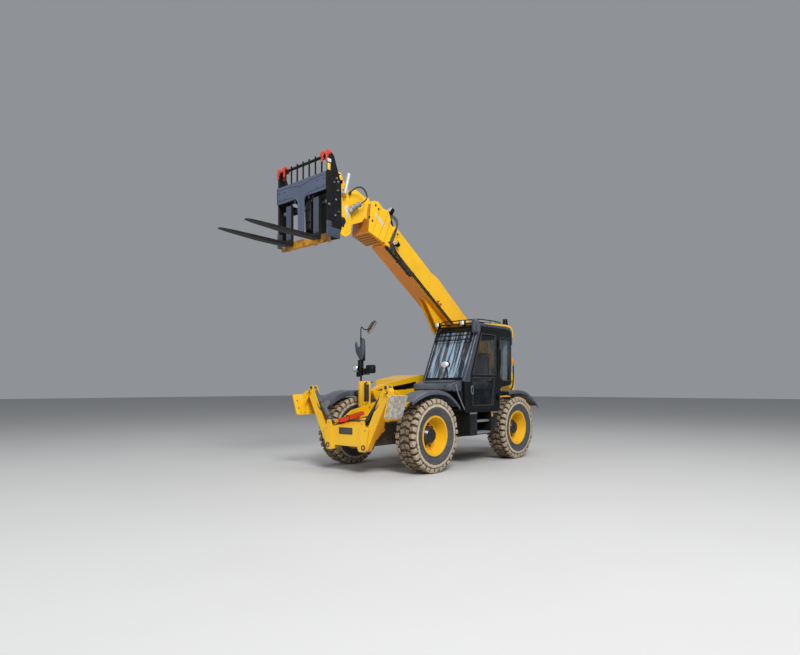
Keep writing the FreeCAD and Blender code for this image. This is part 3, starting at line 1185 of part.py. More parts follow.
def roof_guard():
    """The guard over the windscreen's top and the roof: two side rails, with bars between them."""
    top = CAB_ROOF + GUARD_RISE
    left, right = CAB_OUTER_Y - 70.0, CAB_INNER_Y + 70.0
    # Columns: x, z, corner radius of a side rail's outline
    rail = [(-1175.0, 2322.0, 10.0), (-1262.0, 2600.0, 60.0), (-1400.0, top, 60.0), (-2300.0, top, 40.0),
            (-2300.0, CAB_ROOF + SEAT_GAP),
            (-2262.0, CAB_ROOF + SEAT_GAP), (-2262.0, top - 24.0, 12.0), (-1400.0, top - 24.0,
                                                                          50.0), (-1286.0, 2585.0,
                                                                                  50.0), (-1206.0, 2322.0,
                                                                                          10.0)]
    pieces = []
    for y in (right, left):
        pieces.append(plate_xz(rail, y - 10.0, y + 10.0))
    # Columns: x and z of each bar across the front and the roof
    for x, z in GUARD_BAR_PLACES:
        pieces.append(rod((x, right, z), (x, left, z), 10.0))
    # Feet on the windscreen's side posts
    for y in (right, left):
        pieces.append(plate_xz([(-1172.0, 2330.0), (-1206.0, 2330.0), (-1206.0 - CAB_POST_GAP, 2304.0),
                                (-1172.0 - CAB_POST_GAP, 2304.0)], y - 14.0, y + 14.0))
    return fuse(pieces)


def lamp_hoop():
    """The bent bar behind the cab that carries the amber beacon."""
    x, y = CAB_REAR - SEAT_GAP - 20.0, CAB_OUTER_Y - 160.0
    foot = block(x - 12.0, x + 20.0, y - 40.0, y + 40.0, CAB_ROOF - 260.0, CAB_ROOF - 180.0)
    post = rod((x - 12.0, y, CAB_ROOF - 220.0), (x - 12.0, y, CAB_ROOF + 70.0), 12.0)
    base = Part.makeCylinder(62.0, 26.0, Vector(x - 12.0, y, CAB_ROOF + 60.0))
    dome = Part.makeCone(56.0, 44.0, 110.0, Vector(x - 12.0, y, CAB_ROOF + 86.0))
    return fuse([foot, post, base, dome])


def cab_mirror():
    """The mirror's housing on a short arm at the cab's front left post."""
    x0 = CAB_FRONT - 390.0
    x1 = x0 + MIRROR_DEPTH
    low, high = CAB_ROOF - 180.0, CAB_ROOF + 60.0
    inner, outer = CAB_OUTER_Y - 45.0, CAB_MIRROR_EDGE
    head = plate_yz([(inner, low, 30.0), (inner, high, 40.0), (outer, high, 50.0), (outer, low, 30.0)],
                    x0, x1)
    y = CAB_OUTER_Y - 28.0
    arm = rod((x1 - 20.0, y, low + 40.0), (x0 - 60.0, y, low - 60.0), 11.0)
    arm = arm.cut(plate_xz(cab_profile(-SEAT_GAP), CAB_INNER_Y, CAB_OUTER_Y))
    arm = max(arm.Solids, key=lambda solid: solid.BoundBox.XMax)
    return fuse([head, arm])


def safety_strut():
    """The red prop for the raised boom, stowed on the deck on two feet."""
    a, b = Vector(*STRUT_START), Vector(*STRUT_END)
    way = b - a
    length = way.Length
    outer = Part.makeBox(length, 66.0, 66.0, Vector(0, -33.0, -33.0))
    inner = Part.makeBox(length + 2.0, 54.0, 60.0, Vector(-1.0, -27.0, -27.0))
    bar = outer.cut(inner)
    pitch = math.degrees(math.atan2(way.z, math.hypot(way.x, way.y)))
    bar.rotate(Vector(0, 0, 0), Vector(0, 1, 0), -pitch)
    bar.rotate(Vector(0, 0, 0), Vector(0, 0, 1), math.degrees(math.atan2(way.y, way.x)))
    bar.translate(a)
    slope = DECK_RISE / (NOSE_FRONT - 29.0 - DECK_BACK)
    pieces = [bar]
    for share in (0.25, 0.8):
        spot = a + way * share
        deck_z = [NOSE_TOP + slope * (NOSE_FRONT - 29.0 - x) + SEAT_GAP for x in (spot.x - 20.0,
                                                                                  spot.x + 20.0)]
        foot = plate_xz([(spot.x - 20.0, deck_z[0]), (spot.x - 20.0, spot.z - 28.0),
                         (spot.x + 20.0, spot.z - 28.0), (spot.x + 20.0, deck_z[1])],
                        spot.y - 16.0, spot.y + 16.0)
        pieces.append(foot)
    return fuse(pieces)


def tow_hitch():
    """The clevis behind the counterweight, bored for a tow pin."""
    front = COUNTERWEIGHT_REAR - SEAT_GAP
    back = front - TOW_REACH
    z = TOW_PIN_Z
    pieces = [block(front - 24.0, front, -120.0, 120.0, z - 120.0, z + 120.0)]
    jaw = [(front - 20.0, -70.0), (front - 20.0, 70.0), (back, 56.0, 46.0), (back, -56.0, 46.0)]
    for low in (z - 64.0, z + 42.0):
        pieces.append(plate_xy(jaw, low, low + 22.0))
    bore = Part.makeCylinder(TOW_PIN_RADIUS, 300.0, Vector(TOW_PIN_X, 0, z - 150.0))
    return fuse(pieces).cut(bore)


def operator_seat():
    """The seat on its pedestal."""
    y = (CAB_INNER_Y + CAB_OUTER_Y) / 2.0
    x = DOOR_REAR + 5.0
    floor = CAB_FLOOR + CAB_WALL + SEAT_GAP
    top = floor + 400.0
    pedestal = block(x, x + 290.0, y - 180.0, y + 180.0, floor, top)
    cushion = plate_xz([(x - 50.0, top - 10.0, 20.0), (x + 430.0, top - 10.0, 40.0),
                        (x + 440.0, top + 110.0, 40.0),
                        (x - 50.0, top + 90.0, 20.0)], y - 240.0, y + 240.0)
    back = plate_xz([(x - 65.0, top + 50.0, 20.0), (x + 50.0, top + 70.0, 30.0),
                     (x - 50.0, top + 720.0, 50.0),
                     (x - 160.0, top + 700.0, 50.0)], y - 220.0, y + 220.0)
    return fuse([pedestal, cushion, back])


def steering_column():
    """The steering column and wheel on the cab's floor."""
    y = (CAB_INNER_Y + CAB_OUTER_Y) / 2.0
    floor = CAB_FLOOR + CAB_WALL + SEAT_GAP
    column = plate_xz([(-1010.0, floor), (-1180.0, floor), (-1240.0, 1560.0, 20.0),
                       (-1110.0, 1640.0, 20.0)], y - 90.0, y + 90.0)
    top = Vector(-1190.0, y, 1630.0)
    way = Vector(-0.35, 0, 0.94)
    shaft = Part.makeCylinder(22.0, 220.0, top - way * 100.0, way)
    ring = Part.makePolygon([Vector(r, 0, h) for r, h in ((170, -10), (190, -14), (200, 0), (190, 14),
                                                          (170, 10), (170, -10))])
    wheel = Part.Face(ring).revolve(Vector(0, 0, 0), Vector(0, 0, 1), 360)
    wheel.rotate(Vector(0, 0, 0), Vector(0, 1, 0), -20.4)
    wheel.translate(top + way * 118.0)
    spoke = Part.makeBox(360.0, 36.0, 12.0, Vector(-180.0, -18.0, -6.0))
    spoke.rotate(Vector(0, 0, 0), Vector(0, 1, 0), -20.4)
    spoke.translate(top + way * 118.0)
    return fuse([column, shaft, wheel, spoke])


def side_steps():
    """The two boxes below the door and the steps between them, on a back plate."""
    back_y, face_y = 640.0, 1090.0
    top, low = CAB_FLOOR - SEAT_GAP, 555.0
    front, rear = -1070.0, -2020.0
    near, far = front - 240.0, rear + 245.0
    boxes = [
        [(front, low, 15.0), (front, top, 15.0), (near, top, 15.0), (near, low, 15.0)],
        [(far, low, 15.0), (far, top, 15.0), (rear, top, 15.0), (rear, low + 340.0, 20.0),
         (rear + 150.0, low, 20.0)],
    ]
    pieces = [plate_xz(outline, back_y, face_y) for outline in boxes]
    pieces.append(block(far - 1.0, near + 1.0, back_y, back_y + 10.0, low + 5.0, top))
    # Columns: height of the tread's underside, its outer edge
    for z, y in ((low + 20.0, face_y - 5.0), (low + 235.0, face_y - 30.0)):
        pieces.append(block(far - 1.0, near + 1.0, back_y + 5.0, y, z, z + 36.0))
    middle = (near + far) / 2.0
    pieces.append(block(middle - 30.0, middle + 30.0, RAIL_HALF_WIDTH + SEAT_GAP, back_y + 5.0,
                        low + 45.0, low + 325.0))
    return fuse(pieces)


def engine_block():
    """The engine and its gearbox as one closed mass beside the chassis."""
    length, width, height = ENGINE_SIZE
    return block(-1920.0, -1920.0 + length, -480.0 - width, -480.0, BAY_FLOOR + SEAT_GAP,
                 BAY_FLOOR + height)


def bonnet_hinge(y):
    """One hinge barrel of the bonnet."""
    return rod((BONNET_HINGE_X, y, BONNET_HINGE_Z), (BONNET_HINGE_X, y + 60.0, BONNET_HINGE_Z), 14.0)


def engine_bay():
    """The open-topped housing round the engine, with its low snout beside the boom."""
    inner_y = -RAIL_HALF_WIDTH - SEAT_GAP
    side = [(BAY_REAR, 640.0, 40.0), (BAY_FRONT, 560.0, 60.0), (BAY_FRONT, BAY_TOP), (BAY_REAR, BAY_TOP)]
    shell = plate_xz(side, BAY_OUTER_Y, inner_y)
    room = block(BAY_REAR + 20.0, BAY_FRONT - 20.0, BAY_OUTER_Y + 20.0, inner_y - 20.0, BAY_FLOOR,
                 BAY_TOP + 30.0)
    snout = [(BAY_FRONT - 1.0, BAY_TOP - 110.0, 0.0), (SNOUT_FRONT - 40.0, BAY_TOP - 110.0, 30.0),
             (SNOUT_FRONT, BAY_TOP - 40.0, 20.0),
             (SNOUT_FRONT, BAY_TOP, 0.0), (BAY_FRONT - 1.0, BAY_TOP, 0.0)]
    nose = plate_xz(snout, SNOUT_OUTER_Y, inner_y)
    barrels = [bonnet_hinge(y) for y in BONNET_HINGE_YS]
    leaves = [block(BONNET_HINGE_X, BAY_REAR + 2.0, y, y + 60.0, BONNET_HINGE_Z - 14.0,
                    BONNET_HINGE_Z - 2.0) for y in BONNET_HINGE_YS]
    return fuse([shell.cut(room), nose] + barrels + leaves)


def engine_bonnet():
    """The bonnet: a hollow lid over the engine bay that slopes down to the snout's tip, hinged at its rear."""
    z0 = BAY_TOP + SEAT_GAP
    skin = 16.0
    # Columns: x, height above the bay's top, corner radius
    rows = ((SNOUT_FRONT, 8.0, 0.0), (-360.0, 136.0, 80.0), (-1440.0, 328.0, 80.0), (BAY_REAR, 343.0, 60.0))
    side = [(BAY_REAR, z0), (SNOUT_FRONT, z0)] + [(x, BAY_TOP + rise, r) for x, rise, r in rows]
    under = [(BAY_REAR + skin, z0 - 1.0), (SNOUT_FRONT - 150.0, z0 - 1.0)]
    under += [(x - 90.0, BAY_TOP + rise - skin, r) for x, rise, r in rows[1:-1]]
    under.append((BAY_REAR + skin, BAY_TOP + rows[-1][1] - skin, 50.0))
    solid = plate_xz(side, BAY_OUTER_Y, BONNET_INNER_Y)
    lid = solid.cut(plate_xz(under, BAY_OUTER_Y + skin, BONNET_INNER_Y - skin))
    top = BAY_TOP + 400.0
    notch = block(BAY_FRONT, SNOUT_FRONT + 50.0, BAY_OUTER_Y - 100.0, SNOUT_OUTER_Y, BAY_TOP - 50.0, top)
    wall = block(BAY_FRONT - skin, BAY_FRONT, BAY_OUTER_Y, SNOUT_OUTER_Y + skin, z0, top).common(solid)
    rim = block(BAY_FRONT - 5.0, SNOUT_FRONT, SNOUT_OUTER_Y, SNOUT_OUTER_Y + skin, z0, top).common(solid)
    own = [y + 60.0 + SEAT_GAP for y in BONNET_HINGE_YS]
    barrels = [bonnet_hinge(y) for y in own]
    leaves = [block(BONNET_HINGE_X, BAY_REAR + 2.0, y, y + 60.0, z0, BAY_TOP + 14.0) for y in own]
    links = [block(BONNET_HINGE_X - 10.0, BONNET_HINGE_X + 8.0, y, y + 60.0, BONNET_HINGE_Z,
                   BAY_TOP + 14.0) for y in own]
    return fuse([lid.cut(notch), wall, rim] + leaves + links + barrels)


def mast_bracket():
    """The upright bracket by the right wheel, with an open window, bolted to the chassis' wall."""
    back, front = MAST_X - 15.0, MAST_X + 15.0
    wall = -RAIL_HALF_WIDTH - SEAT_GAP
    y0, y1 = wall - 190.0, wall - 5.0
    outline = [(y0, MAST_FOOT, 20.0), (y0, MAST_TOP, 15.0), (y1, MAST_TOP, 15.0), (y1, MAST_FOOT, 20.0)]
    window = [(y0 + 66.0, MAST_FOOT + 90.0, 15.0), (y0 + 66.0, MAST_TOP - 36.0, 15.0),
              (y1 - 36.0, MAST_TOP - 36.0, 15.0),
              (y1 - 36.0, MAST_FOOT + 90.0, 15.0)]
    plate = plate_yz(outline, back, front).cut(plate_yz(window, back - 1.0, front + 1.0))
    return fuse([
        plate,
        block(back - 70.0, front, y0, y0 + 12.0, MAST_FOOT + 10.0, MAST_TOP - 10.0),
        block(back - 70.0, front, wall - 14.0, wall, MAST_FOOT - 160.0, MAST_FOOT + 60.0),
    ])


def mast_pole():
    """The black pole with its two arms, the round lamp, the rear lamp and the mirror."""
    y = -RAIL_HALF_WIDTH - SEAT_GAP - 150.0
    x = MAST_X + 15.0 + SEAT_GAP + MAST_POLE_RADIUS
    foot = MAST_TOP - 160.0
    pieces = [rod((x, y, foot), (x, y, MAST_POLE_TOP), MAST_POLE_RADIUS)]
    pieces.append(rod((x, y, LAMP_Z), (x + 6.0, y - 120.0, LAMP_Z), 10.0))
    pieces.append(rod((x, y, LAMP_Z - 60.0), (x - 40.0, y + 90.0, LAMP_Z - 60.0), 10.0))
    lamp = Part.makeCone(64.0, 44.0, 70.0, Vector(x + 46.0, y - 110.0, LAMP_Z), Vector(-1, 0, 0))
    box = block(x - 74.0, x - 10.0, y + 60.0, y + 150.0, LAMP_Z - 122.0, LAMP_Z - 6.0)
    glass = [(y - 46.0, MIRROR_Z - 150.0, 30.0), (y - 46.0, MIRROR_Z + 150.0, 30.0),
             (y + 70.0, MIRROR_Z + 150.0, 30.0), (y + 70.0, MIRROR_Z - 150.0, 30.0)]
    mirror = plate_yz(glass, x - MAST_POLE_RADIUS - 26.0, x - 8.0)
    return fuse(pieces + [lamp, box, mirror])


def build():
    """Makes every node and writes it."""
    made = {}
    half_track = TRACK / 2.0
    half_king = KINGPIN_TRACK / 2.0
    tyre, rim = make_tyre(), make_rim().fuse(make_hub())
    knuckle = make_knuckle()
    for axle, x in AXLES:
        made[axle + "_axle"] = make_axle().translated(Vector(x, 0, TYRE_RADIUS))
        line = FENDER_LINES[axle]
        fender = make_fender(line)
        own = knuckle
        if axle == "front":
            own = fuse([knuckle, fender_bracket(line)])
        for side_name, side in SIDES:
            name = axle + "_" + side_name
            place = Vector(x, side * half_king, TYRE_RADIUS)
            made["knuckle_" + name] = sided(own, side).translated(place)
            if axle == "rear":
                fender = fuse([make_fender(line), fender_arm(line)])
            made["fender_" + name] = sided(fender, side).translated(place)
            place = Vector(x, side * half_track, TYRE_RADIUS)
            made["wheel_" + name] = sided(rim, side).translated(place)
            made["tyre_" + name] = sided(tyre, side).translated(place)
    made["chassis_frame"] = chassis_frame()
    made["nose_frame"] = nose_frame()
    made["counterweight"] = counterweight()
    made["boom_tower"] = boom_tower()
    made["outer_boom"] = outer_boom()
    made["mid_boom"] = mid_boom()
    made["inner_boom"] = inner_boom()
    made["tilt_pin"] = tilt_pin()
    made["hitch_frame"] = hitch_frame()
    made["fork_carriage"] = fork_carriage()
    made["load_guard"] = load_guard()
    made["guard_hooks"] = Part.makeCompound(guard_hooks())
    made["forks"] = forks()
    pin_x, pin_z = boom_point(LIFT_PIN_S, LIFT_PIN_N)
    base = (LIFT_BASE_X, BOOM_Y, LIFT_BASE_Z)
    eye = (pin_x, BOOM_Y, pin_z)
    made["lift_barrel"] = ram_barrel(base, eye, LIFT_BARREL_LENGTH, LIFT_BARREL_RADIUS, LIFT_EYE_RADIUS,
                                     LIFT_EYE_WIDTH, 40.0, LIFT_ROD_RADIUS, (0, 1, 0))
    made["lift_rod"] = ram_rod(base, eye, LIFT_ROD_LENGTH, LIFT_ROD_RADIUS, LIFT_EYE_RADIUS - 15.0,
                               LIFT_EYE_WIDTH, (0, 1, 0))
    for side_name, side in SIDES:
        made["leg_" + side_name] = sided(stabiliser_leg(), side)
        made["foot_" + side_name] = sided(stabiliser_foot(), side)
        base = (LEG_X, LEG_RAM_BASE_Y, LEG_RAM_BASE_Z)
        eye = (LEG_X, LEG_RAM_PIN_Y, LEG_RAM_PIN_Z)
        barrel = ram_barrel(base, eye, LEG_RAM_LENGTH - 20.0, LEG_RAM_RADIUS, 34.0, 60.0, 18.0,
                            LEG_RAM_ROD, (1, 0, 0))
        made["leg_barrel_" + side_name] = sided(barrel, side)
        made["leg_rod_" + side_name] = sided(ram_rod(base, eye, LEG_RAM_LENGTH - 10.0, LEG_RAM_ROD, 32.0,
                                                     60.0, (1, 0, 0)), side)
    made["cab_frame"] = cab_frame()
    made["cab_glass"] = cab_glass()
    made["cab_door"] = cab_door()
    made["door_glass"] = door_glass()
    made["front_cowl"] = front_cowl()
    made["operator_seat"] = operator_seat()
    made["steering_column"] = steering_column()
    made["side_steps"] = side_steps()
    made["engine_block"] = engine_block()
    made["engine_bay"] = engine_bay()
    made["engine_bonnet"] = engine_bonnet()
    made["mast_bracket"] = mast_bracket()
    made["mast_pole"] = mast_pole()
    made["roof_guard"] = roof_guard()
    made["lamp_hoop"] = lamp_hoop()
    made["cab_mirror"] = cab_mirror()
    made["safety_strut"] = safety_strut()
    made["tow_hitch"] = tow_hitch()
    for name, shape in made.items():
        save(name, shape)
    print(len(made), "nodes")
    return made


os.makedirs("parts", exist_ok=True)
MADE = build()
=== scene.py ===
import json
import math
import bmesh
import bpy
from mathutils import Matrix, Vector, noise


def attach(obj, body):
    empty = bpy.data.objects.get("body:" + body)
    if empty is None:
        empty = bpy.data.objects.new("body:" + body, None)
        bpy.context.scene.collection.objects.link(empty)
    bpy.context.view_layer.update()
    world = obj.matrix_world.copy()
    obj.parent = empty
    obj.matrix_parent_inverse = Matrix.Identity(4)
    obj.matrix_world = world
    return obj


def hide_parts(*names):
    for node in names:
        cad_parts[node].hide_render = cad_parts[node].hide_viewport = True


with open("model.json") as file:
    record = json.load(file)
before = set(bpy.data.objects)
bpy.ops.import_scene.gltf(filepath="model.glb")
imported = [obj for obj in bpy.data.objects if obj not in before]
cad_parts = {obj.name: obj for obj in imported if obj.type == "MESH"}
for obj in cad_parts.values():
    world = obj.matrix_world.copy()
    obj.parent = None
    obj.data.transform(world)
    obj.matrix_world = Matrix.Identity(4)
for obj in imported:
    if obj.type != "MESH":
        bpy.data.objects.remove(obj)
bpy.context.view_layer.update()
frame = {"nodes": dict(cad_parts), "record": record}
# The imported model's X lies this far ahead of the front axle's own line
AXLE = 0.62915
BOOM_ANGLE = math.radians(33.0)
BOOM_PIVOT = Vector((-4.0 + AXLE, -0.08, 1.62))
TYRE_RADIUS = 0.6275
DECK_SLOPE = 0.1712
WHEELBASE = 2.75
HALF_TRACK = 0.955


# Places and axes

def at(x, y, z):
    """A point given from the front axle's line on the ground."""
    return Vector((x + AXLE, y, z))


def on_boom(s, y, n):
    """A point given along the boom from its pivot, across it and square to it."""
    c, k = math.cos(BOOM_ANGLE), math.sin(BOOM_ANGLE)
    return Vector((BOOM_PIVOT.x + s * c - n * k, BOOM_PIVOT.y + y, BOOM_PIVOT.z + s * k + n * c))


BOOM_TURN = Matrix.Translation(BOOM_PIVOT) @ Matrix.Rotation(-BOOM_ANGLE, 4, "Y")


# Shader helpers

class Value:
    """A number that varies over a surface; sums and products of it add Math nodes."""

    def __init__(self, finish, socket):
        self.finish = finish
        self.socket = socket

    def _math(self, kind, first, second=0.0, third=0.0):
        return self.finish.node("ShaderNodeMath", {"operation": kind}, {0: first, 1: second, 2: third})

    def __add__(self, other):
        return self._math("ADD", self, other)

    def __radd__(self, other):
        return self._math("ADD", other, self)

    def __sub__(self, other):
        return self._math("SUBTRACT", self, other)

    def __rsub__(self, other):
        return self._math("SUBTRACT", other, self)

    def __mul__(self, other):
        return self._math("MULTIPLY", self, other)

    def __rmul__(self, other):
        return self._math("MULTIPLY", other, self)

    def __truediv__(self, other):
        return self._math("DIVIDE", self, other)

    def __pow__(self, other):
        return self._math("POWER", self, other)

    def __abs__(self):
        return self._math("ABSOLUTE", self)

    def least(self, other):
        return self._math("MINIMUM", self, other)

    def most(self, other):
        return self._math("MAXIMUM", self, other)

    def part(self):
        return self._math("FRACT", self)

    def wave(self):
        return self._math("SINE", self)

    def steps(self, low, high):
        """0 below low and 1 above high, smooth in between; low may be the larger one."""
        flip = low > high
        inputs = {"Value": self, "From Min": min(low, high), "From Max": max(low, high)}
        out = self.finish.node("ShaderNodeMapRange", {"interpolation_type": "SMOOTHSTEP"}, inputs)
        return 1.0 - out if flip else out


class Finish:
    """One material's nodes round a Principled shader."""

    def __init__(self, name):
        self.material = bpy.data.materials.new(name)
        self.material.use_nodes = True
        self.tree = self.material.node_tree
        self.shader = self.tree.nodes["Principled BSDF"]
        self.place = self.node("ShaderNodeTexCoord", {}, {}, "Object")

    def node(self, kind, settings, inputs, output=0):
        """Adds a node: its settings first, then the values or links of its sockets."""
        made = self.tree.nodes.new(kind)
        for key, value in settings.items():
            if key == "stops":
                ramp = made.color_ramp
                while len(ramp.elements) < len(value):
                    ramp.elements.new(0.5)
                for element, (spot, colour) in zip(ramp.elements, value):
                    element.position = spot
                    element.color = (*colour, 1.0)
            else:
                setattr(made, key, value)
        for key, value in inputs.items():
            self.feed(made.inputs[key], value)
        return Value(self, made.outputs[output])

    def feed(self, socket, value):
        if isinstance(value, Value):
            self.tree.links.new(value.socket, socket)
        elif value is not None:
            if socket.type == "RGBA" and len(value) == 3:
                value = (*value, 1.0)
            socket.default_value = value

    def noise(self, scale, detail=4.0, rough=0.55, place=None, stretch=None):
        spot = place or self.place
        if stretch:
            spot = self.node("ShaderNodeMapping", {}, {"Vector": spot, "Scale": stretch})
        return self.node("ShaderNodeTexNoise", {"noise_dimensions": "3D"},
                         {"Vector": spot, "Scale": scale, "Detail": detail, "Roughness": rough}, "Fac")

    def cells(self, scale, output="Distance", feature="F1"):
        return self.node("ShaderNodeTexVoronoi", {"feature": feature}, {"Vector": self.place, "Scale": scale}, output)

    def axis(self, letter):
        return self.node("ShaderNodeSeparateXYZ", {}, {0: self.place}, letter)

    def facing(self, letter):
        normal = self.node("ShaderNodeNewGeometry", {}, {}, "Normal")
        return self.node("ShaderNodeSeparateXYZ", {}, {0: normal}, letter)

    def mix(self, share, first, second):
        """A colour between two, by a share."""
        settings = {"data_type": "RGBA", "clamp_factor": True}
        return self.node("ShaderNodeMix", settings, {0: share, 6: first, 7: second}, 2)

    def bump(self, height, strength, distance):
        return self.node("ShaderNodeBump", {}, {"Height": height, "Strength": strength, "Distance": distance})

    def set(self, **sockets):
        """Feeds the shader's own sockets, named in small letters with underscores."""
        for key, value in sockets.items():
            self.feed(self.shader.inputs[key.replace("_", " ").title().replace("Ior", "IOR")], value)
        return self.material


MUD = (0.30, 0.235, 0.165)
MUD_DARK = (0.13, 0.092, 0.058)
DUST = (0.42, 0.37, 0.30)


def grime(finish, top, reach):
    """How much road dirt lies on a surface: most near the ground, less up to a height."""
    height = finish.axis("Z")
    patches = finish.noise(2.6, 6.0, 0.62)
    fine = finish.noise(38.0, 5.0, 0.7)
    low = height.steps(top + reach, top - reach)
    return (low * 0.75 + patches * 0.55 - 0.46 + fine * 0.3).steps(0.18, 0.72)


def painted(name, colour, rough=0.34, dirt=1.0, dirt_top=0.55, coat=0.35, wear=0.5, painted_shade_below=None, zones=None,
            shine=0.5):
    """Sprayed enamel on plate: slight unevenness, rain-washed dust, splashes low down and fine scratches; where a shade
    colour is given, faces turned downwards take it as painted shade.
    """
    f = Finish(name)
    tone = f.noise(1.4, 3.0)
    deep = tuple(c * 0.86 for c in colour)
    base = f.mix(tone.steps(0.3, 0.7), deep, colour)
    # Painted shade: faces turned downwards are mixed towards the given shade colour
    if painted_shade_below:
        base = f.mix(f.facing("Z").steps(-0.05, -0.75), base, painted_shade_below)
    if zones:
        base = zones(f, base)
    upward = f.facing("Z").steps(0.2, 0.95)
    film = f.noise(7.0, 7.0, 0.68)
    dust = (film.steps(0.46, 0.80) * 0.10 + upward * film * 0.20) * dirt
    base = f.mix(dust.least(0.5), base, DUST)
    spread = f.noise(1.0, 5.0, 0.6, stretch=(9.0, 9.0, 1.2))
    runs = (spread.steps(0.56, 0.76) * 0.16) * dirt
    base = f.mix(runs, base, MUD_DARK)
    splash = grime(f, dirt_top, 0.45) * dirt
    lumps = f.noise(90.0, 4.0, 0.6)
    base = f.mix(splash, base, f.mix(lumps, MUD_DARK, MUD))
    chips = f.cells(46.0).steps(0.075, 0.05) * f.noise(5.0, 2.0).steps(0.56, 0.66) * wear
    base = f.mix(chips, base, (0.07, 0.055, 0.045))
    roughness = rough + dust * 0.35 + splash * 0.5 + tone * 0.06
    height = f.noise(160.0, 2.0) * 0.15 + splash * lumps * 1.6 - chips * 0.7
    return f.set(base_color=base, roughness=roughness.least(0.95), normal=f.bump(height, 0.35, 0.003),
                 coat_weight=coat * (1.0 - splash), coat_roughness=0.12, specular_ior_level=shine)


def carriage_zones(f, base):
    """The carriage: near black on its ends and behind the blue plate, where it is painted shade among the ribs; its
    bare shaft and its muddy ochre beam.
    """
    # Painted shade: near black behind the plate's front face, among the ribs; the ends are near black as well
    behind = (f.axis("X") - AXLE).steps(1.868, 1.862)
    ends = abs(f.axis("Y") - BOOM_PIVOT.y).steps(0.585, 0.592)
    base = f.mix(behind.most(ends), base, (0.005, 0.0055, 0.007))
    off_x, off_z = f.axis("X") - (1.742 + AXLE), f.axis("Z") - 4.30
    shaft = ((off_x * off_x + off_z * off_z) ** 0.5).steps(0.036, 0.033) * (1.0 - ends)
    base = f.mix(shaft, base, (0.26, 0.27, 0.29))
    beam = f.axis("Z").steps(3.812, 3.80) * (f.axis("X") - AXLE).steps(1.815, 1.805) * (1.0 - ends)
    patchy = f.noise(6.0, 6.0, 0.65).steps(0.42, 0.66)
    return f.mix(beam, base, f.mix(patchy, (0.55, 0.25, 0.02), (0.20, 0.09, 0.025)))


def collar_mouth_shade(f, base):
    """The collar's mouth: painted shade, its forward faces mottled brown where the boom's shadow falls."""
    # Painted shade on the collar's forward faces
    mouth = f.facing("X").steps(0.93, 0.97)
    return f.mix(mouth, base, f.mix(f.noise(9.0, 4.0), (0.30, 0.10, 0.012), (0.50, 0.20, 0.010)))


def frame_shade_zones(f, base):
    """The chassis rails' lower half, darker: painted shade under the body, with dark mud."""
    # Painted shade and dark mud on the rails below this height
    low = (f.axis("Z") + f.noise(7.0, 4.0) * 0.05).steps(0.90, 0.86)
    return f.mix(low, base, f.mix(f.noise(12.0, 6.0, 0.7), (0.010, 0.009, 0.008), (0.060, 0.045, 0.032)))


def rim_zones(f, base):
    """The rim's black hub."""
    return f.mix(tyre_radius(f).steps(0.170, 0.164), base, (0.010, 0.0105, 0.012))


def fork_sky_sheen(f, base):
    """Painted sky sheen: slate blue on the shanks' faces turned fore and aft, above the black blades."""
    # Painted sheen of the sky on the black paint of the shanks
    shank_sheen = f.axis("Z").steps(3.80, 3.83) * abs(f.facing("X")).steps(0.5, 0.8) * (f.axis("X") - AXLE).steps(1.96, 1.94)
    return f.mix(shank_sheen, base, (0.060, 0.074, 0.108))


def foot_zones(f, base):
    """Pale dried mud over the soles, which face outwards on the folded legs."""
    side = f.axis("Y").steps(-0.01, 0.01) * 2.0 - 1.0
    sole = (f.facing("Y") * side).steps(0.55, 0.8) * (f.axis("Z")).steps(1.372, 1.34)
    blots = f.noise(16.0, 6.0, 0.7)
    mud = f.mix(blots.steps(0.35, 0.65), (0.24, 0.21, 0.17), (0.52, 0.49, 0.44))
    return f.mix(sole * f.noise(3.0, 5.0, 0.6).steps(0.22, 0.34), base, mud)


def moulded(name, colour, rough=0.55, grain=420.0, dirt=0.8, dirt_top=0.6):
    """Moulded plastic with a fine leather grain, grey bloom and dust."""
    f = Finish(name)
    bloom = f.noise(3.0, 5.0, 0.6)
    pale = tuple(min(1.0, c * 1.5 + 0.015) for c in colour)
    base = f.mix(bloom.steps(0.35, 0.75), colour, pale)
    upward = f.facing("Z").steps(0.1, 0.95)
    film = f.noise(9.0, 7.0, 0.7)
    dust = (film.steps(0.45, 0.8) * 0.3 + upward * film * 0.4) * dirt
    base = f.mix(dust.least(0.6), base, DUST)
    splash = grime(f, dirt_top, 0.4) * dirt
    lumps = f.noise(80.0, 4.0, 0.6)
    base = f.mix(splash, base, f.mix(lumps, MUD_DARK, MUD))
    height = f.cells(grain) * 0.25 + splash * lumps * 1.5
    return f.set(base_color=base, roughness=(rough + dust * 0.3 + splash * 0.35).least(0.96),
                 normal=f.bump(height, 0.3, 0.002))


def bare_steel(name, colour, rough=0.32, rust=0.25, dirt_top=0.5):
    """Rolled or machined steel with scale, rub marks and some rust."""
    f = Finish(name)
    streak = f.noise(3.0, 6.0, 0.6, stretch=(3.0, 30.0, 30.0))
    base = f.mix(streak, tuple(c * 0.6 for c in colour), colour)
    bloom = f.noise(6.0, 7.0, 0.7).steps(0.5, 0.78) * rust
    grainy = f.noise(60.0, 4.0)
    base = f.mix(bloom, base, f.mix(grainy, (0.12, 0.04, 0.015), (0.28, 0.11, 0.035)))
    splash = grime(f, dirt_top, 0.4)
    lumps = f.noise(80.0, 4.0, 0.6)
    base = f.mix(splash, base, f.mix(lumps, MUD_DARK, MUD))
    dull = (bloom + splash).least(1.0)
    return f.set(base_color=base, roughness=(rough + streak * 0.15 + dull * 0.5).least(0.95),
                 metallic=1.0 - dull, normal=f.bump(streak * 0.3 + dull * grainy, 0.3, 0.001))


def tyre_radius(f):
    """How far a spot of a tyre lies from its own wheel's axis."""
    z = f.axis("Z") - TYRE_RADIUS
    front = f.axis("X") - AXLE
    rear = f.axis("X") - (AXLE - WHEELBASE)
    return ((front * front + z * z) ** 0.5).least((rear * rear + z * z) ** 0.5)


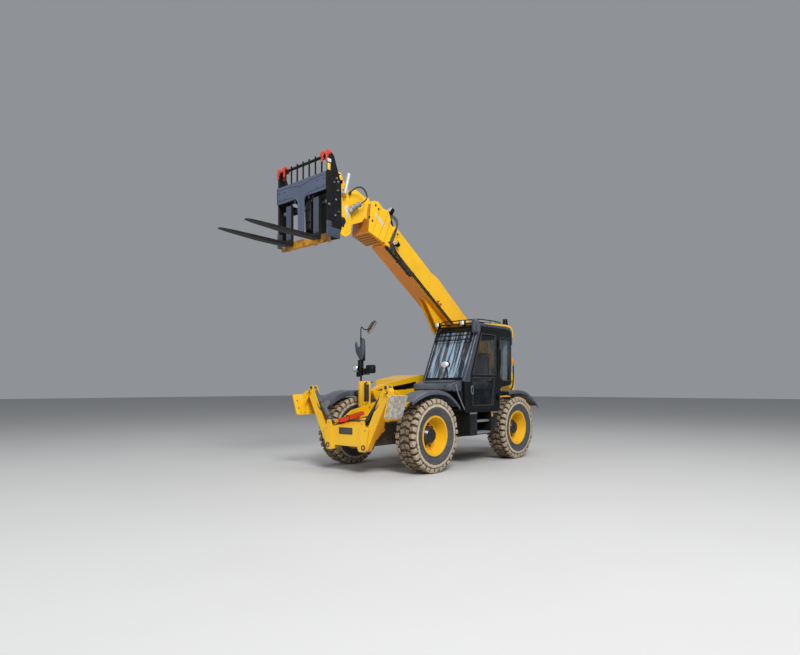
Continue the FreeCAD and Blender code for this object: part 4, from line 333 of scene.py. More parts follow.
def tyre_rubber():
    """The casing: a clean dark ring by the rim, a line of pale dried mud round it and, between the blocks, dark mud
    with painted shade.
    """
    f = Finish("tyre casing")
    radius = tyre_radius(f) + (f.noise(9.0, 5.0, 0.6) - 0.5) * 0.03
    rubber = f.mix(f.noise(5.0, 5.0), (0.030, 0.031, 0.034), (0.085, 0.088, 0.096))
    rubber = f.mix(f.noise(14.0, 6.0, 0.7).steps(0.5, 0.8) * 0.35, rubber, (0.34, 0.30, 0.25))
    clods = f.noise(26.0, 6.0, 0.66)
    pale = f.mix(clods.steps(0.3, 0.6), (0.30, 0.235, 0.16), (0.58, 0.50, 0.38))
    # Between the blocks: dark mud, and painted shade down in the grooves
    deep = f.mix(clods.steps(0.35, 0.7), (0.022, 0.014, 0.009), (0.12, 0.078, 0.046))
    outer = radius.steps(0.480, 0.488)
    base = f.mix(outer, rubber, f.mix(radius.steps(0.512, 0.548), pale, deep))
    height = outer * clods * 1.3 + f.noise(220.0, 2.0) * 0.1
    return f.set(base_color=base, roughness=0.55 + outer * 0.40, normal=f.bump(height, 0.8, 0.012))


def tyre_blocks():
    """The blocks: brown dried mud, paler towards the shoulders, with rubbed dark rubber on some crowns and painted
    shade low on the crown blocks, in the grooves.
    """
    f = Finish("tyre blocks with dried mud")
    radius = tyre_radius(f)
    across = abs(abs(f.axis("Y")) - HALF_TRACK)
    clods = f.noise(24.0, 6.0, 0.66)
    lumps = f.cells(30.0)
    crown = f.mix((clods + lumps * 0.5).steps(0.35, 0.85), (0.045, 0.029, 0.018), (0.25, 0.185, 0.115))
    sandy = f.mix((clods + lumps * 0.6).steps(0.3, 0.8), (0.12, 0.088, 0.058), (0.42, 0.335, 0.235))
    base = f.mix(across.steps(0.09, 0.20), crown, sandy)
    rubbed = radius.steps(0.617, 0.622) * f.noise(11.0, 4.0, 0.6).steps(0.5, 0.62) * 0.75
    base = f.mix(rubbed, base, (0.050, 0.044, 0.040))
    # Painted shade: the crown blocks darker low down, in the grooves between them
    base = f.mix(radius.steps(0.608, 0.600) * across.steps(0.185, 0.17) * 0.8, base, (0.035, 0.022, 0.014))
    height = clods * 1.2 + lumps * 0.8
    return f.set(base_color=base, roughness=0.93 - rubbed * 0.3, normal=f.bump(height, 0.9, 0.012))


def pane(name, dirt=0.2):
    """Tinted glass; the windscreen mirrors the sky in pale upright streaks, and dust lies on all of it."""
    f = Finish(name)
    bands = f.noise(1.0, 3.0, 0.7, stretch=(1.4, 15.0, 0.5)).steps(0.45, 0.58)
    streaks = bands * f.facing("X").steps(0.5, 0.8) * f.noise(1.1, 3.0).steps(0.25, 0.5)
    cloud = f.noise(3.0, 6.0, 0.7).steps(0.4, 0.85) * dirt
    base = f.mix(streaks, (0.022, 0.034, 0.046), (0.30, 0.41, 0.52))
    base = f.mix(cloud, base, (0.45, 0.44, 0.40))
    screen = f.facing("X").steps(0.5, 0.8) * 0.38
    return f.set(base_color=base, roughness=0.04 + cloud * 0.4, ior=1.45,
                 alpha=(0.16 + screen + streaks * 0.25 + cloud * 0.25).least(1.0))


def plain(name, colour, rough=0.5, metallic=0.0, glow=0.0):
    """A small part's finish with slight cloudiness."""
    f = Finish(name)
    tone = f.noise(12.0, 4.0)
    base = f.mix(tone, tuple(c * 0.75 for c in colour), colour)
    f.set(base_color=base, roughness=rough + tone * 0.1, metallic=metallic)
    if glow:
        f.set(emission_color=colour, emission_strength=glow)
    return f.material


YELLOW = (0.90, 0.50, 0.003)
# Painted shade: the deep orange of the yellow paint on faces turned downwards
SHADE = (0.80, 0.255, 0.001)
LOOKS = {
    "paint_yellow": painted("yellow enamel", YELLOW, dirt=0.45, dirt_top=0.45, painted_shade_below=SHADE),
    "rim_yellow": painted("yellow wheel enamel", (0.86, 0.45, 0.003), dirt=0.35, dirt_top=0.15, zones=rim_zones),
    "axle_grey": painted("dark axle paint", (0.035, 0.034, 0.034), rough=0.5, dirt=1.3, dirt_top=0.75, coat=0.0),
    "tyre_rubber": tyre_rubber(),
    "plastic_grey": moulded("slate grey plastic", (0.058, 0.068, 0.090), rough=0.32, dirt=0.2),
    "carriage_blue": painted("slate blue enamel", (0.095, 0.120, 0.180), rough=0.42, dirt=0.3, dirt_top=-2.0, coat=0.02, shine=0.22,
                             zones=carriage_zones),
    "fork_steel": painted("black fork paint", (0.012, 0.011, 0.011), rough=0.42, dirt=0.3, dirt_top=-2.0, coat=0.02, shine=0.25, wear=0.9,
                          zones=fork_sky_sheen),
    "cab_dark": painted("black cab enamel", (0.0035, 0.004, 0.0055), rough=0.22, dirt=0.05, dirt_top=0.4, coat=0.05, shine=0.22),
    "glass": pane("cab glass"),
    "seat_fabric": moulded("seat cloth", (0.02, 0.02, 0.023), rough=0.85, grain=900.0, dirt=0.2, dirt_top=-2.0),
    "step_metal": painted("black step paint", (0.008, 0.009, 0.011), rough=0.38, dirt=0.15, dirt_top=0.5, coat=0.0, shine=0.25),
    "ram_paint": painted("slate ram enamel", (0.055, 0.066, 0.09), rough=0.32, dirt=0.4, dirt_top=0.3),
    "chrome_rod": bare_steel("chromed rod", (0.75, 0.76, 0.78), rough=0.08, rust=0.0, dirt_top=-2.0),
    "signal_red": painted("red enamel", (0.55, 0.05, 0.02), dirt=0.4, dirt_top=0.2),
    "nut": bare_steel("dark fasteners", (0.10, 0.098, 0.095), rough=0.42, rust=0.35),
    "hose": moulded("black rubber hose", (0.012, 0.012, 0.013), rough=0.5, grain=900.0, dirt=0.35, dirt_top=-2.0),
    # Ochre: dark joints on the yellow paint, and painted shade on the collar's ribs
    "ochre": painted("ochre joints and painted shade", (0.50, 0.20, 0.012), dirt=0.3, dirt_top=-2.0),
    "foot": painted("worn foot enamel", YELLOW, dirt=0.8, dirt_top=0.6, zones=foot_zones),
    "lens": plain("lamp glass", (0.80, 0.83, 0.86), rough=0.12, metallic=0.55),
    "tyre_blocks": tyre_blocks(),
    "collar": painted("yellow collar enamel", YELLOW, dirt=0.5, dirt_top=0.9, painted_shade_below=SHADE, zones=collar_mouth_shade),
    "rails": painted("yellow chassis enamel", YELLOW, dirt=0.6, dirt_top=0.6, painted_shade_below=SHADE, zones=frame_shade_zones),
    "black_ram": painted("black ram enamel", (0.010, 0.010, 0.011), rough=0.32, dirt=0.3, dirt_top=0.3),
    "slate": painted("slate trim enamel", (0.040, 0.050, 0.074), rough=0.34, dirt=0.2, dirt_top=0.3),
    "beam": painted("pale grey tube", (0.52, 0.54, 0.52), rough=0.4, dirt=0.3, dirt_top=-2.0),
    "plate_dark": plain("dark blank plate", (0.055, 0.056, 0.055), 0.4),
    "hub": plain("black hub enamel", (0.012, 0.0125, 0.014), rough=0.35),
    "pale_label": plain("pale label", (0.60, 0.60, 0.58), 0.4),
    "yellow_label": plain("yellow label", (0.80, 0.55, 0.04), 0.4),
    "satin": plain("satin metal", (0.30, 0.31, 0.33), rough=0.35, metallic=0.5),
    "green_lens": plain("green lens", (0.01, 0.30, 0.08), 0.15),
    "amber_lens": plain("amber lens", (0.80, 0.28, 0.008), 0.15),
    "red_lens": plain("red lens", (0.45, 0.01, 0.01), 0.15),
    "mirror": plain("mirror glass", (0.72, 0.76, 0.80), 0.03, metallic=1.0),
    "moulding": moulded("black interior moulding", (0.015, 0.015, 0.017), rough=0.6, dirt=0.2, dirt_top=-2.0),
    "engine_iron": painted("engine paint", (0.03, 0.03, 0.032), rough=0.6, dirt=0.8, coat=0.0),
}
NODE_LOOKS = {"foot_left": "foot", "foot_right": "foot", "chassis_frame": "rails", "leg_barrel_left": "black_ram",
              "mid_boom": "collar"}
SLOT_OF = {row["node"]: row["material_slot"] for row in frame["record"]["subparts"]}
for node_name, node_object in frame["nodes"].items():
    node_object.data.materials.clear()
    node_look = NODE_LOOKS.get(node_name, SLOT_OF[node_name])
    node_object.data.materials.append(LOOKS[node_look])


# Mesh helpers

class Shape:
    """A mesh that is put together from plates, boxes, tubes and turned pieces."""

    def __init__(self):
        self.bm = bmesh.new()

    def _place(self, verts, turn):
        if turn is not None:
            bmesh.ops.transform(self.bm, matrix=turn, verts=verts)

    def _soften(self, verts, width, segments):
        if width > 0.0:
            inside = set(verts)
            edges = [e for e in self.bm.edges if e.verts[0] in inside and e.verts[1] in inside]
            sharp = [e for e in edges if e.calc_face_angle(0.0) > 0.5]
            bmesh.ops.bevel(self.bm, geom=sharp, offset=width, segments=segments, profile=0.5, affect="EDGES",
                            clamp_overlap=True)

    def box(self, low, high, bevel=0.0, turn=None):
        low, high = Vector(low), Vector(high)
        made = bmesh.ops.create_cube(self.bm, size=1.0)["verts"]
        size, middle = high - low, (low + high) / 2.0
        for v in made:
            v.co = Vector((v.co.x * size.x, v.co.y * size.y, v.co.z * size.z)) + middle
        self._place(made, turn)
        self._soften(made, bevel, 2)
        return self

    def plate(self, outline, low, high, axis="Y", bevel=0.0, turn=None, segments=2):
        """A plate with an outline, thick along an axis; the outline gives the other two letters in order."""
        made = []
        rows = []
        for depth in (low, high):
            row = []
            for a, b in outline:
                spot = {"X": (depth, a, b), "Y": (a, depth, b), "Z": (a, b, depth)}[axis]
                row.append(self.bm.verts.new(spot))
            rows.append(row)
            made += row
        count = len(outline)
        faces = [self.bm.faces.new(rows[0]), self.bm.faces.new(rows[1][::-1])]
        for i in range(count):
            j = (i + 1) % count
            faces.append(self.bm.faces.new((rows[0][j], rows[0][i], rows[1][i], rows[1][j])))
        bmesh.ops.recalc_face_normals(self.bm, faces=faces)
        self._place(made, turn)
        self._soften(made, bevel, segments)
        return self

    def rod(self, start, end, radius, sides=20, tip=None, bevel=0.0):
        """A round bar between two points, tapered where it has a tip radius."""
        start, end = Vector(start), Vector(end)
        way = end - start
        made = bmesh.ops.create_cone(self.bm, cap_ends=True, segments=sides, radius1=radius,
                                     radius2=radius if tip is None else tip, depth=way.length)["verts"]
        turn = Matrix.Translation((start + end) / 2.0) @ way.to_track_quat("Z", "Y").to_matrix().to_4x4()
        self._place(made, turn)
        self._soften(made, bevel, 2)
        return self

    def turned(self, rows, centre, axis="Y", sides=48, sign=1.0):
        """A turned piece: rows of radius and place along the axis, closed from the last row to the first."""
        rings = []
        for radius, along in rows:
            ring = []
            for i in range(sides):
                a = 2.0 * math.pi * i / sides
                u, v = radius * math.cos(a), radius * math.sin(a)
                spot = {"X": (sign * along, u, v), "Y": (u, sign * along, v), "Z": (u, v, sign * along)}[axis]
                ring.append(self.bm.verts.new(Vector(spot) + Vector(centre)))
            rings.append(ring)
        faces = []
        for k, ring in enumerate(rings):
            other = rings[(k + 1) % len(rings)]
            for i in range(sides):
                j = (i + 1) % sides
                faces.append(self.bm.faces.new((ring[i], ring[j], other[j], other[i])))
        if min(radius for radius, _ in rows) < 1e-6:
            bmesh.ops.remove_doubles(self.bm, verts=[v for ring in rings for v in ring], dist=1e-6)
        else:
            bmesh.ops.recalc_face_normals(self.bm, faces=faces)
        return self

    def tube(self, points, radius, sides=12, rounds=8):
        """A bent round bar or hose through a smooth line near the points."""
        line = smooth_line(points, rounds)
        up = Vector((0.0, 0.0, 1.0))
        rings = []
        side = None
        for i, spot in enumerate(line):
            way = (line[min(i + 1, len(line) - 1)] - line[max(i - 1, 0)]).normalized()
            if side is None:
                side = way.cross(up if abs(way.z) < 0.9 else Vector((1.0, 0.0, 0.0))).normalized()
            side = (side - way * side.dot(way)).normalized()
            other = way.cross(side)
            rings.append([self.bm.verts.new(spot + (side * math.cos(a) + other * math.sin(a)) * radius)
                          for a in (2.0 * math.pi * k / sides for k in range(sides))])
        for first, second in zip(rings, rings[1:]):
            for k in range(sides):
                j = (k + 1) % sides
                self.bm.faces.new((first[j], first[k], second[k], second[j]))
        self.bm.faces.new(rings[0])
        self.bm.faces.new(rings[-1][::-1])
        return self

    def mesh(self, name, sharp=35.0):
        bmesh.ops.recalc_face_normals(self.bm, faces=self.bm.faces)
        made = bpy.data.meshes.new(name)
        self.bm.to_mesh(made)
        self.bm.free()
        shade(made, sharp)
        return made


def smooth_line(points, rounds):
    """Points along a soft curve that passes near the given ones and starts and ends on them."""
    points = [Vector(p) for p in points]
    if len(points) == 2 or rounds == 0:
        return points
    curve = bpy.data.curves.new("line", "CURVE")
    curve.dimensions = "3D"
    spline = curve.splines.new("NURBS")
    spline.points.add(len(points) - 1)
    for point, place in zip(spline.points, points):
        point.co = (*place, 1.0)
    spline.order_u = 3
    spline.use_endpoint_u = True
    curve.resolution_u = rounds
    holder = bpy.data.objects.new("line", curve)
    bpy.context.scene.collection.objects.link(holder)
    bpy.context.view_layer.update()
    mesh = bpy.data.meshes.new_from_object(holder.evaluated_get(bpy.context.evaluated_depsgraph_get()))
    line = [v.co.copy() for v in mesh.vertices]
    bpy.data.objects.remove(holder)
    bpy.data.curves.remove(curve)
    bpy.data.meshes.remove(mesh)
    return line


def shade(mesh, sharp=35.0):
    mesh.polygons.foreach_set("use_smooth", [True] * len(mesh.polygons))
    mesh.set_sharp_from_angle(angle=math.radians(sharp))


def piece(name, mesh, body, slot, look=None, sharp=None):
    """Puts a mesh into the scene as a piece that rides on a body."""
    made = bpy.data.objects.new(name, mesh)
    bpy.context.scene.collection.objects.link(made)
    if not mesh.materials:
        mesh.materials.append(look or LOOKS[slot])
    if sharp is not None:
        shade(mesh, sharp)
    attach(made, body)
    return made


# Geometry Nodes for what repeats

def node_tree(name, inputs):
    """An empty tree with a geometry output and named inputs."""
    tree = bpy.data.node_groups.new(name, "GeometryNodeTree")
    tree.interface.new_socket("Geometry", in_out="INPUT", socket_type="NodeSocketGeometry")
    for label, kind in inputs:
        tree.interface.new_socket(label, in_out="INPUT", socket_type="NodeSocket" + kind)
    tree.interface.new_socket("Geometry", in_out="OUTPUT", socket_type="NodeSocketGeometry")
    return tree, tree.nodes.new("NodeGroupInput"), tree.nodes.new("NodeGroupOutput")


def finish_tree(tree, given, result, instances):
    """Realizes the instances and gives them the material."""
    real = tree.nodes.new("GeometryNodeRealizeInstances")
    paint = tree.nodes.new("GeometryNodeSetMaterial")
    tree.links.new(instances, real.inputs[0])
    tree.links.new(real.outputs[0], paint.inputs["Geometry"])
    tree.links.new(given.outputs["Material"], paint.inputs["Material"])
    tree.links.new(paint.outputs[0], result.inputs[0])
    return tree


def make_ring_tree():
    """Copies of an item round a circle about Z, each turned to face outwards."""
    tree, given, result = node_tree("ring of copies", (("Count", "Int"), ("Radius", "Float"), ("Start", "Float"),
                                                       ("Item", "Object"), ("Material", "Material")))
    line = tree.nodes.new("GeometryNodeMeshLine")
    line.mode = "OFFSET"
    line.inputs["Offset"].default_value = (0.0, 0.0, 0.0)
    tree.links.new(given.outputs["Count"], line.inputs["Count"])
    index = tree.nodes.new("GeometryNodeInputIndex")
    share = tree.nodes.new("ShaderNodeMath")
    share.operation = "DIVIDE"
    tree.links.new(index.outputs[0], share.inputs[0])
    tree.links.new(given.outputs["Count"], share.inputs[1])
    angle = tree.nodes.new("ShaderNodeMath")
    angle.operation = "MULTIPLY_ADD"
    angle.inputs[1].default_value = 2.0 * math.pi
    tree.links.new(share.outputs[0], angle.inputs[0])
    tree.links.new(given.outputs["Start"], angle.inputs[2])
    turn = tree.nodes.new("ShaderNodeCombineXYZ")
    tree.links.new(angle.outputs[0], turn.inputs["Z"])
    out = tree.nodes.new("ShaderNodeCombineXYZ")
    tree.links.new(given.outputs["Radius"], out.inputs["X"])
    spot = tree.nodes.new("ShaderNodeVectorRotate")
    spot.rotation_type = "Z_AXIS"
    tree.links.new(out.outputs[0], spot.inputs["Vector"])
    tree.links.new(angle.outputs[0], spot.inputs["Angle"])
    move = tree.nodes.new("GeometryNodeSetPosition")
    tree.links.new(line.outputs[0], move.inputs["Geometry"])
    tree.links.new(spot.outputs[0], move.inputs["Position"])
    item = tree.nodes.new("GeometryNodeObjectInfo")
    tree.links.new(given.outputs["Item"], item.inputs["Object"])
    copies = tree.nodes.new("GeometryNodeInstanceOnPoints")
    tree.links.new(move.outputs[0], copies.inputs["Points"])
    tree.links.new(item.outputs["Geometry"], copies.inputs["Instance"])
    tree.links.new(turn.outputs[0], copies.inputs["Rotation"])
    return finish_tree(tree, given, result, copies.outputs[0])


def make_row_tree():
    """Copies of an item in a straight row."""
    tree, given, result = node_tree("row of copies", (("Count", "Int"), ("Start", "Vector"), ("Step", "Vector"),
                                                      ("Item", "Object"), ("Material", "Material")))
    line = tree.nodes.new("GeometryNodeMeshLine")
    line.mode = "OFFSET"
    tree.links.new(given.outputs["Count"], line.inputs["Count"])
    tree.links.new(given.outputs["Start"], line.inputs["Start Location"])
    tree.links.new(given.outputs["Step"], line.inputs["Offset"])
    item = tree.nodes.new("GeometryNodeObjectInfo")
    tree.links.new(given.outputs["Item"], item.inputs["Object"])
    copies = tree.nodes.new("GeometryNodeInstanceOnPoints")
    tree.links.new(line.outputs[0], copies.inputs["Points"])
    tree.links.new(item.outputs["Geometry"], copies.inputs["Instance"])
    return finish_tree(tree, given, result, copies.outputs[0])


def make_spots_tree():
    """Copies of an item at the points of a mesh, with Z along each point's own way."""
    tree, given, result = node_tree("copies on spots", (("Item", "Object"), ("Material", "Material")))
    way = tree.nodes.new("GeometryNodeInputNamedAttribute")
    way.data_type = "FLOAT_VECTOR"
    way.inputs["Name"].default_value = "way"
    turn = tree.nodes.new("FunctionNodeAlignRotationToVector")
    turn.axis = "Z"
    tree.links.new(way.outputs["Attribute"], turn.inputs["Vector"])
    item = tree.nodes.new("GeometryNodeObjectInfo")
    tree.links.new(given.outputs["Item"], item.inputs["Object"])
    copies = tree.nodes.new("GeometryNodeInstanceOnPoints")
    tree.links.new(given.outputs["Geometry"], copies.inputs["Points"])
    tree.links.new(item.outputs["Geometry"], copies.inputs["Instance"])
    tree.links.new(turn.outputs[0], copies.inputs["Rotation"])
    return finish_tree(tree, given, result, copies.outputs[0])


RING, ROW, SPOTS = make_ring_tree(), make_row_tree(), make_spots_tree()


def repeated(tree, item, look, base=None, **values):
    """The plain mesh that a tree makes of an item's mesh; values are the tree's named inputs."""
    model = bpy.data.objects.new("item", item)
    holder = bpy.data.objects.new("holder", base or bpy.data.meshes.new("holder"))
    for thing in (model, holder):
        bpy.context.scene.collection.objects.link(thing)
    modifier = holder.modifiers.new("repeat", "NODES")
    modifier.node_group = tree
    values = {"Item": model, "Material": look, **values}
    for socket in tree.interface.items_tree:
        if socket.in_out == "INPUT" and socket.name in values:
            modifier[socket.identifier] = values[socket.name]
    bpy.context.view_layer.update()
    made = bpy.data.meshes.new_from_object(holder.evaluated_get(bpy.context.evaluated_depsgraph_get()))
    for thing in (holder, model):
        bpy.data.objects.remove(thing)
    return made


def hex_bolt(width, height):
    """A hexagon bolt's head on its washer, standing on Z = 0."""
    bolt = Shape()
    bolt.rod((0, 0, -0.002), (0, 0, height * 0.22), width * 0.68, 20)
    bolt.rod((0, 0, height * 0.2), (0, 0, height), width * 0.5, 6, bevel=height * 0.12)
    bolt.rod((0, 0, height * 0.8), (0, 0, height * 1.08), width * 0.3, 12)
    return bolt.mesh("bolt")


def bolts(name, spots, body, slot, width=0.024, height=0.014, look=None):
    """Bolt heads at rows of place and outward way."""
    points = bpy.data.meshes.new("spots")
    points.from_pydata([tuple(p) for p, _ in spots], [], [])
    ways = points.attributes.new("way", "FLOAT_VECTOR", "POINT")
    ways.data.foreach_set("vector", [c for _, way in spots for c in Vector(way).normalized()])
    look = look or LOOKS[slot]
    made = repeated(SPOTS, hex_bolt(width, height), look, base=points)
    return piece(name, made, body, slot, sharp=35.0)


# Wheels

CORNERS = (
    ("front_left", 0.0, 1.0),
    ("front_right", 0.0, -1.0),
    ("rear_left", -WHEELBASE, 1.0),
    ("rear_right", -WHEELBASE, -1.0),
)
BLOCKS_ROUND = 31
BLOCK_WIDTH = 0.080
BLOCK_SLANT = math.tan(math.radians(16.0))


def wheel_turn(x, side):
    """Sets a piece made about Z onto a wheel's own axis, with Z outwards."""
    return Matrix.Translation(at(x, side * HALF_TRACK, TYRE_RADIUS)) @ Matrix.Rotation(-side * math.pi / 2.0, 4, "X")


def crown_block(low, high, hand):
    """One block of the crown between two places across the tread, a little slanted."""
    half, lean = BLOCK_WIDTH / 2.0, BLOCK_SLANT * (high - low) * hand / 2.0
    outline = [(-half - lean, low), (half - lean, low), (half + lean, high), (lean - half, high)]
    return Shape().plate(outline, 0.586, 0.6248, "X", 0.008).mesh("block")


def shoulder_block(hand):
    """One shoulder block, running down the outer wall."""
    half = BLOCK_WIDTH / 2.0
    outline = [(0.545, 0.187), (0.586, 0.112), (0.6238, 0.114), (0.6240, 0.165), (0.6140, 0.186), (0.580, 0.197), (0.550, 0.1995)]
    return Shape().plate(outline, hand * 0.004 - half, hand * 0.004 + half, "Y", 0.007).mesh("shoulder")


def make_tyre(name, x, side):
    """A block-patterned tyre: the casing with bead rings and wall lines, and four rows of worn blocks."""
    half = ((0.343, 0.150), (0.352, 0.166), (0.362, 0.169), (0.368, 0.163), (0.400, 0.176), (0.404, 0.1795), (0.412, 0.1795),
            (0.416, 0.183), (0.455, 0.194), (0.459, 0.197), (0.466, 0.197), (0.470, 0.1965), (0.500, 0.199), (0.540, 0.194),
            (0.572, 0.180), (0.588, 0.160), (0.594, 0.120), (0.596, 0.060))
    rows = [(r, a) for r, a in half] + [(r, -a) for r, a in reversed(half)]
    casing = Shape().turned(rows, (0, 0, 0), "Z", 96).mesh("tyre_casing_" + name, 50.0)
    casing.transform(wheel_turn(x, side))
    tyre = piece("tyre_casing_" + name, casing, "roll_" + name, "tyre_rubber")
    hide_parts("tyre_" + name)
    joined = bmesh.new()
    step = 2.0 * math.pi / BLOCKS_ROUND
    for hand in (1.0, -1.0):
        for k, block in enumerate((crown_block(0.010, 0.092, hand), shoulder_block(hand))):
            ring = repeated(RING, block, LOOKS["tyre_blocks"], Count=BLOCKS_ROUND, Radius=0.0, Start=step * (0.25 * hand + 0.5 * k))
            if hand < 0:
                ring.transform(Matrix.Rotation(math.pi, 4, "X"))
            joined.from_mesh(ring)
    for v in joined.verts:
        radius = math.hypot(v.co.x, v.co.y)
        if radius > 0.60 or abs(v.co.z) > 0.19:
            # Worn corners and lumps of mud: every block differs a little
            jolt = noise.noise_vector(v.co * 8.0) * 0.022 + noise.noise_vector(v.co * 31.0) * 0.007
            v.co += Vector((jolt.x, jolt.y, jolt.z * 0.7))
            radius = math.hypot(v.co.x, v.co.y)
            if radius > 0.628:
                v.co.x *= 0.628 / radius
                v.co.y *= 0.628 / radius
            v.co.z = max(-0.2, min(0.2, v.co.z))
    bmesh.ops.transform(joined, matrix=wheel_turn(x, side), verts=joined.verts)
    made = bpy.data.meshes.new("tyre_blocks_" + name)
    joined.to_mesh(made)
    joined.free()
    made.materials.append(LOOKS["tyre_blocks"])
    shade(made, 38.0)
    piece("tyre_blocks_" + name, made, "roll_" + name, "tyre_rubber")


def make_wheel_fittings(name, x, side):
    """Wheel nuts on the disc, bolts and a plug on the hub's face and the valve's stem."""
    turn = wheel_turn(x, side)
    disc = -0.025
    nuts = repeated(RING, hex_bolt(0.032, 0.024), LOOKS["nut"], Count=10, Radius=0.196, Start=0.1)
    nuts.transform(turn @ Matrix.Translation((0, 0, disc)))
    piece("wheel_nuts_" + name, nuts, "roll_" + name, "fork_steel", sharp=35.0)
    cap = Shape()
    cap.turned(((0.0, 0.0), (0.150, 0.0), (0.160, 0.006), (0.160, 0.030), (0.150, 0.036), (0.0, 0.036)), (0, 0, disc + 0.002), "Z", 48)
    cap.turned(((0.0, 0.0), (0.112, 0.0), (0.112, 0.006), (0.0, 0.006)), (0, 0, disc + 0.112), "Z", 48)
    cap.rod((0, 0, disc + 0.11), (0, 0, disc + 0.128), 0.026, 6, bevel=0.002)
    ring = cap.mesh("cap")
    ring.transform(turn)
    piece("hub_rings_" + name, ring, "roll_" + name, "axle_grey", LOOKS["hub"])
    small = repeated(RING, hex_bolt(0.018, 0.010), LOOKS["nut"], Count=8, Radius=0.086, Start=0.3)
    small.transform(turn @ Matrix.Translation((0, 0, disc + 0.117)))
    piece("hub_bolts_" + name, small, "roll_" + name, "fork_steel", sharp=35.0)
    valve = Shape().tube([(0.262, 0.02, disc + 0.03), (0.272, 0.02, 0.05), (0.276, 0.02, 0.105)], 0.005, 8, 4)
    valve.rod((0.276, 0.02, 0.10), (0.2775, 0.02, 0.125), 0.0075, 10)
    stem = valve.mesh("valve")
    stem.transform(turn)
    piece("valve_" + name, stem, "roll_" + name, "fork_steel", LOOKS["nut"])


def make_steering_rams():
    """A steering ram with its rods in front of each axle, and the grease points above its kingpins."""
    for axle, x in (("front", 0.0), ("rear", -WHEELBASE)):
        ram = Shape()
        ram.rod(at(x + 0.135, -0.26, 0.635), at(x + 0.135, 0.26, 0.635), 0.046, 24, bevel=0.004)
        for y in (-0.27, 0.27):
            ram.rod(at(x + 0.135, y - 0.018, 0.635), at(x + 0.135, y + 0.018, 0.635), 0.055, 24, bevel=0.004)
            ram.box(at(x + 0.06, y - 0.02, 0.59), at(x + 0.14, y + 0.02, 0.68), 0.004)
        ram.rod(at(x + 0.135, -0.44, 0.635), at(x + 0.135, 0.44, 0.635), 0.02, 16)
        piece("steering_ram_" + axle, ram.mesh("ram"), "chassis", "axle_grey")
        spots = [(at(x + dx, y, 0.6275 + 0.217), (0, 0, 1)) for y in (-0.72, 0.72) for dx in (-0.045, 0.045)]
        bolts("kingpin_bolts_" + axle, spots, "chassis", "fork_steel", 0.022, 0.012, LOOKS["nut"])


# Boom

def boom_shape(shape, name, body, slot, look=None, sharp=35.0):
    """Finishes a shape made in the boom's own plane and turns it to the boom's angle."""
    mesh = shape.mesh(name, sharp)
    mesh.transform(BOOM_TURN)
    return piece(name, mesh, body, slot, look)


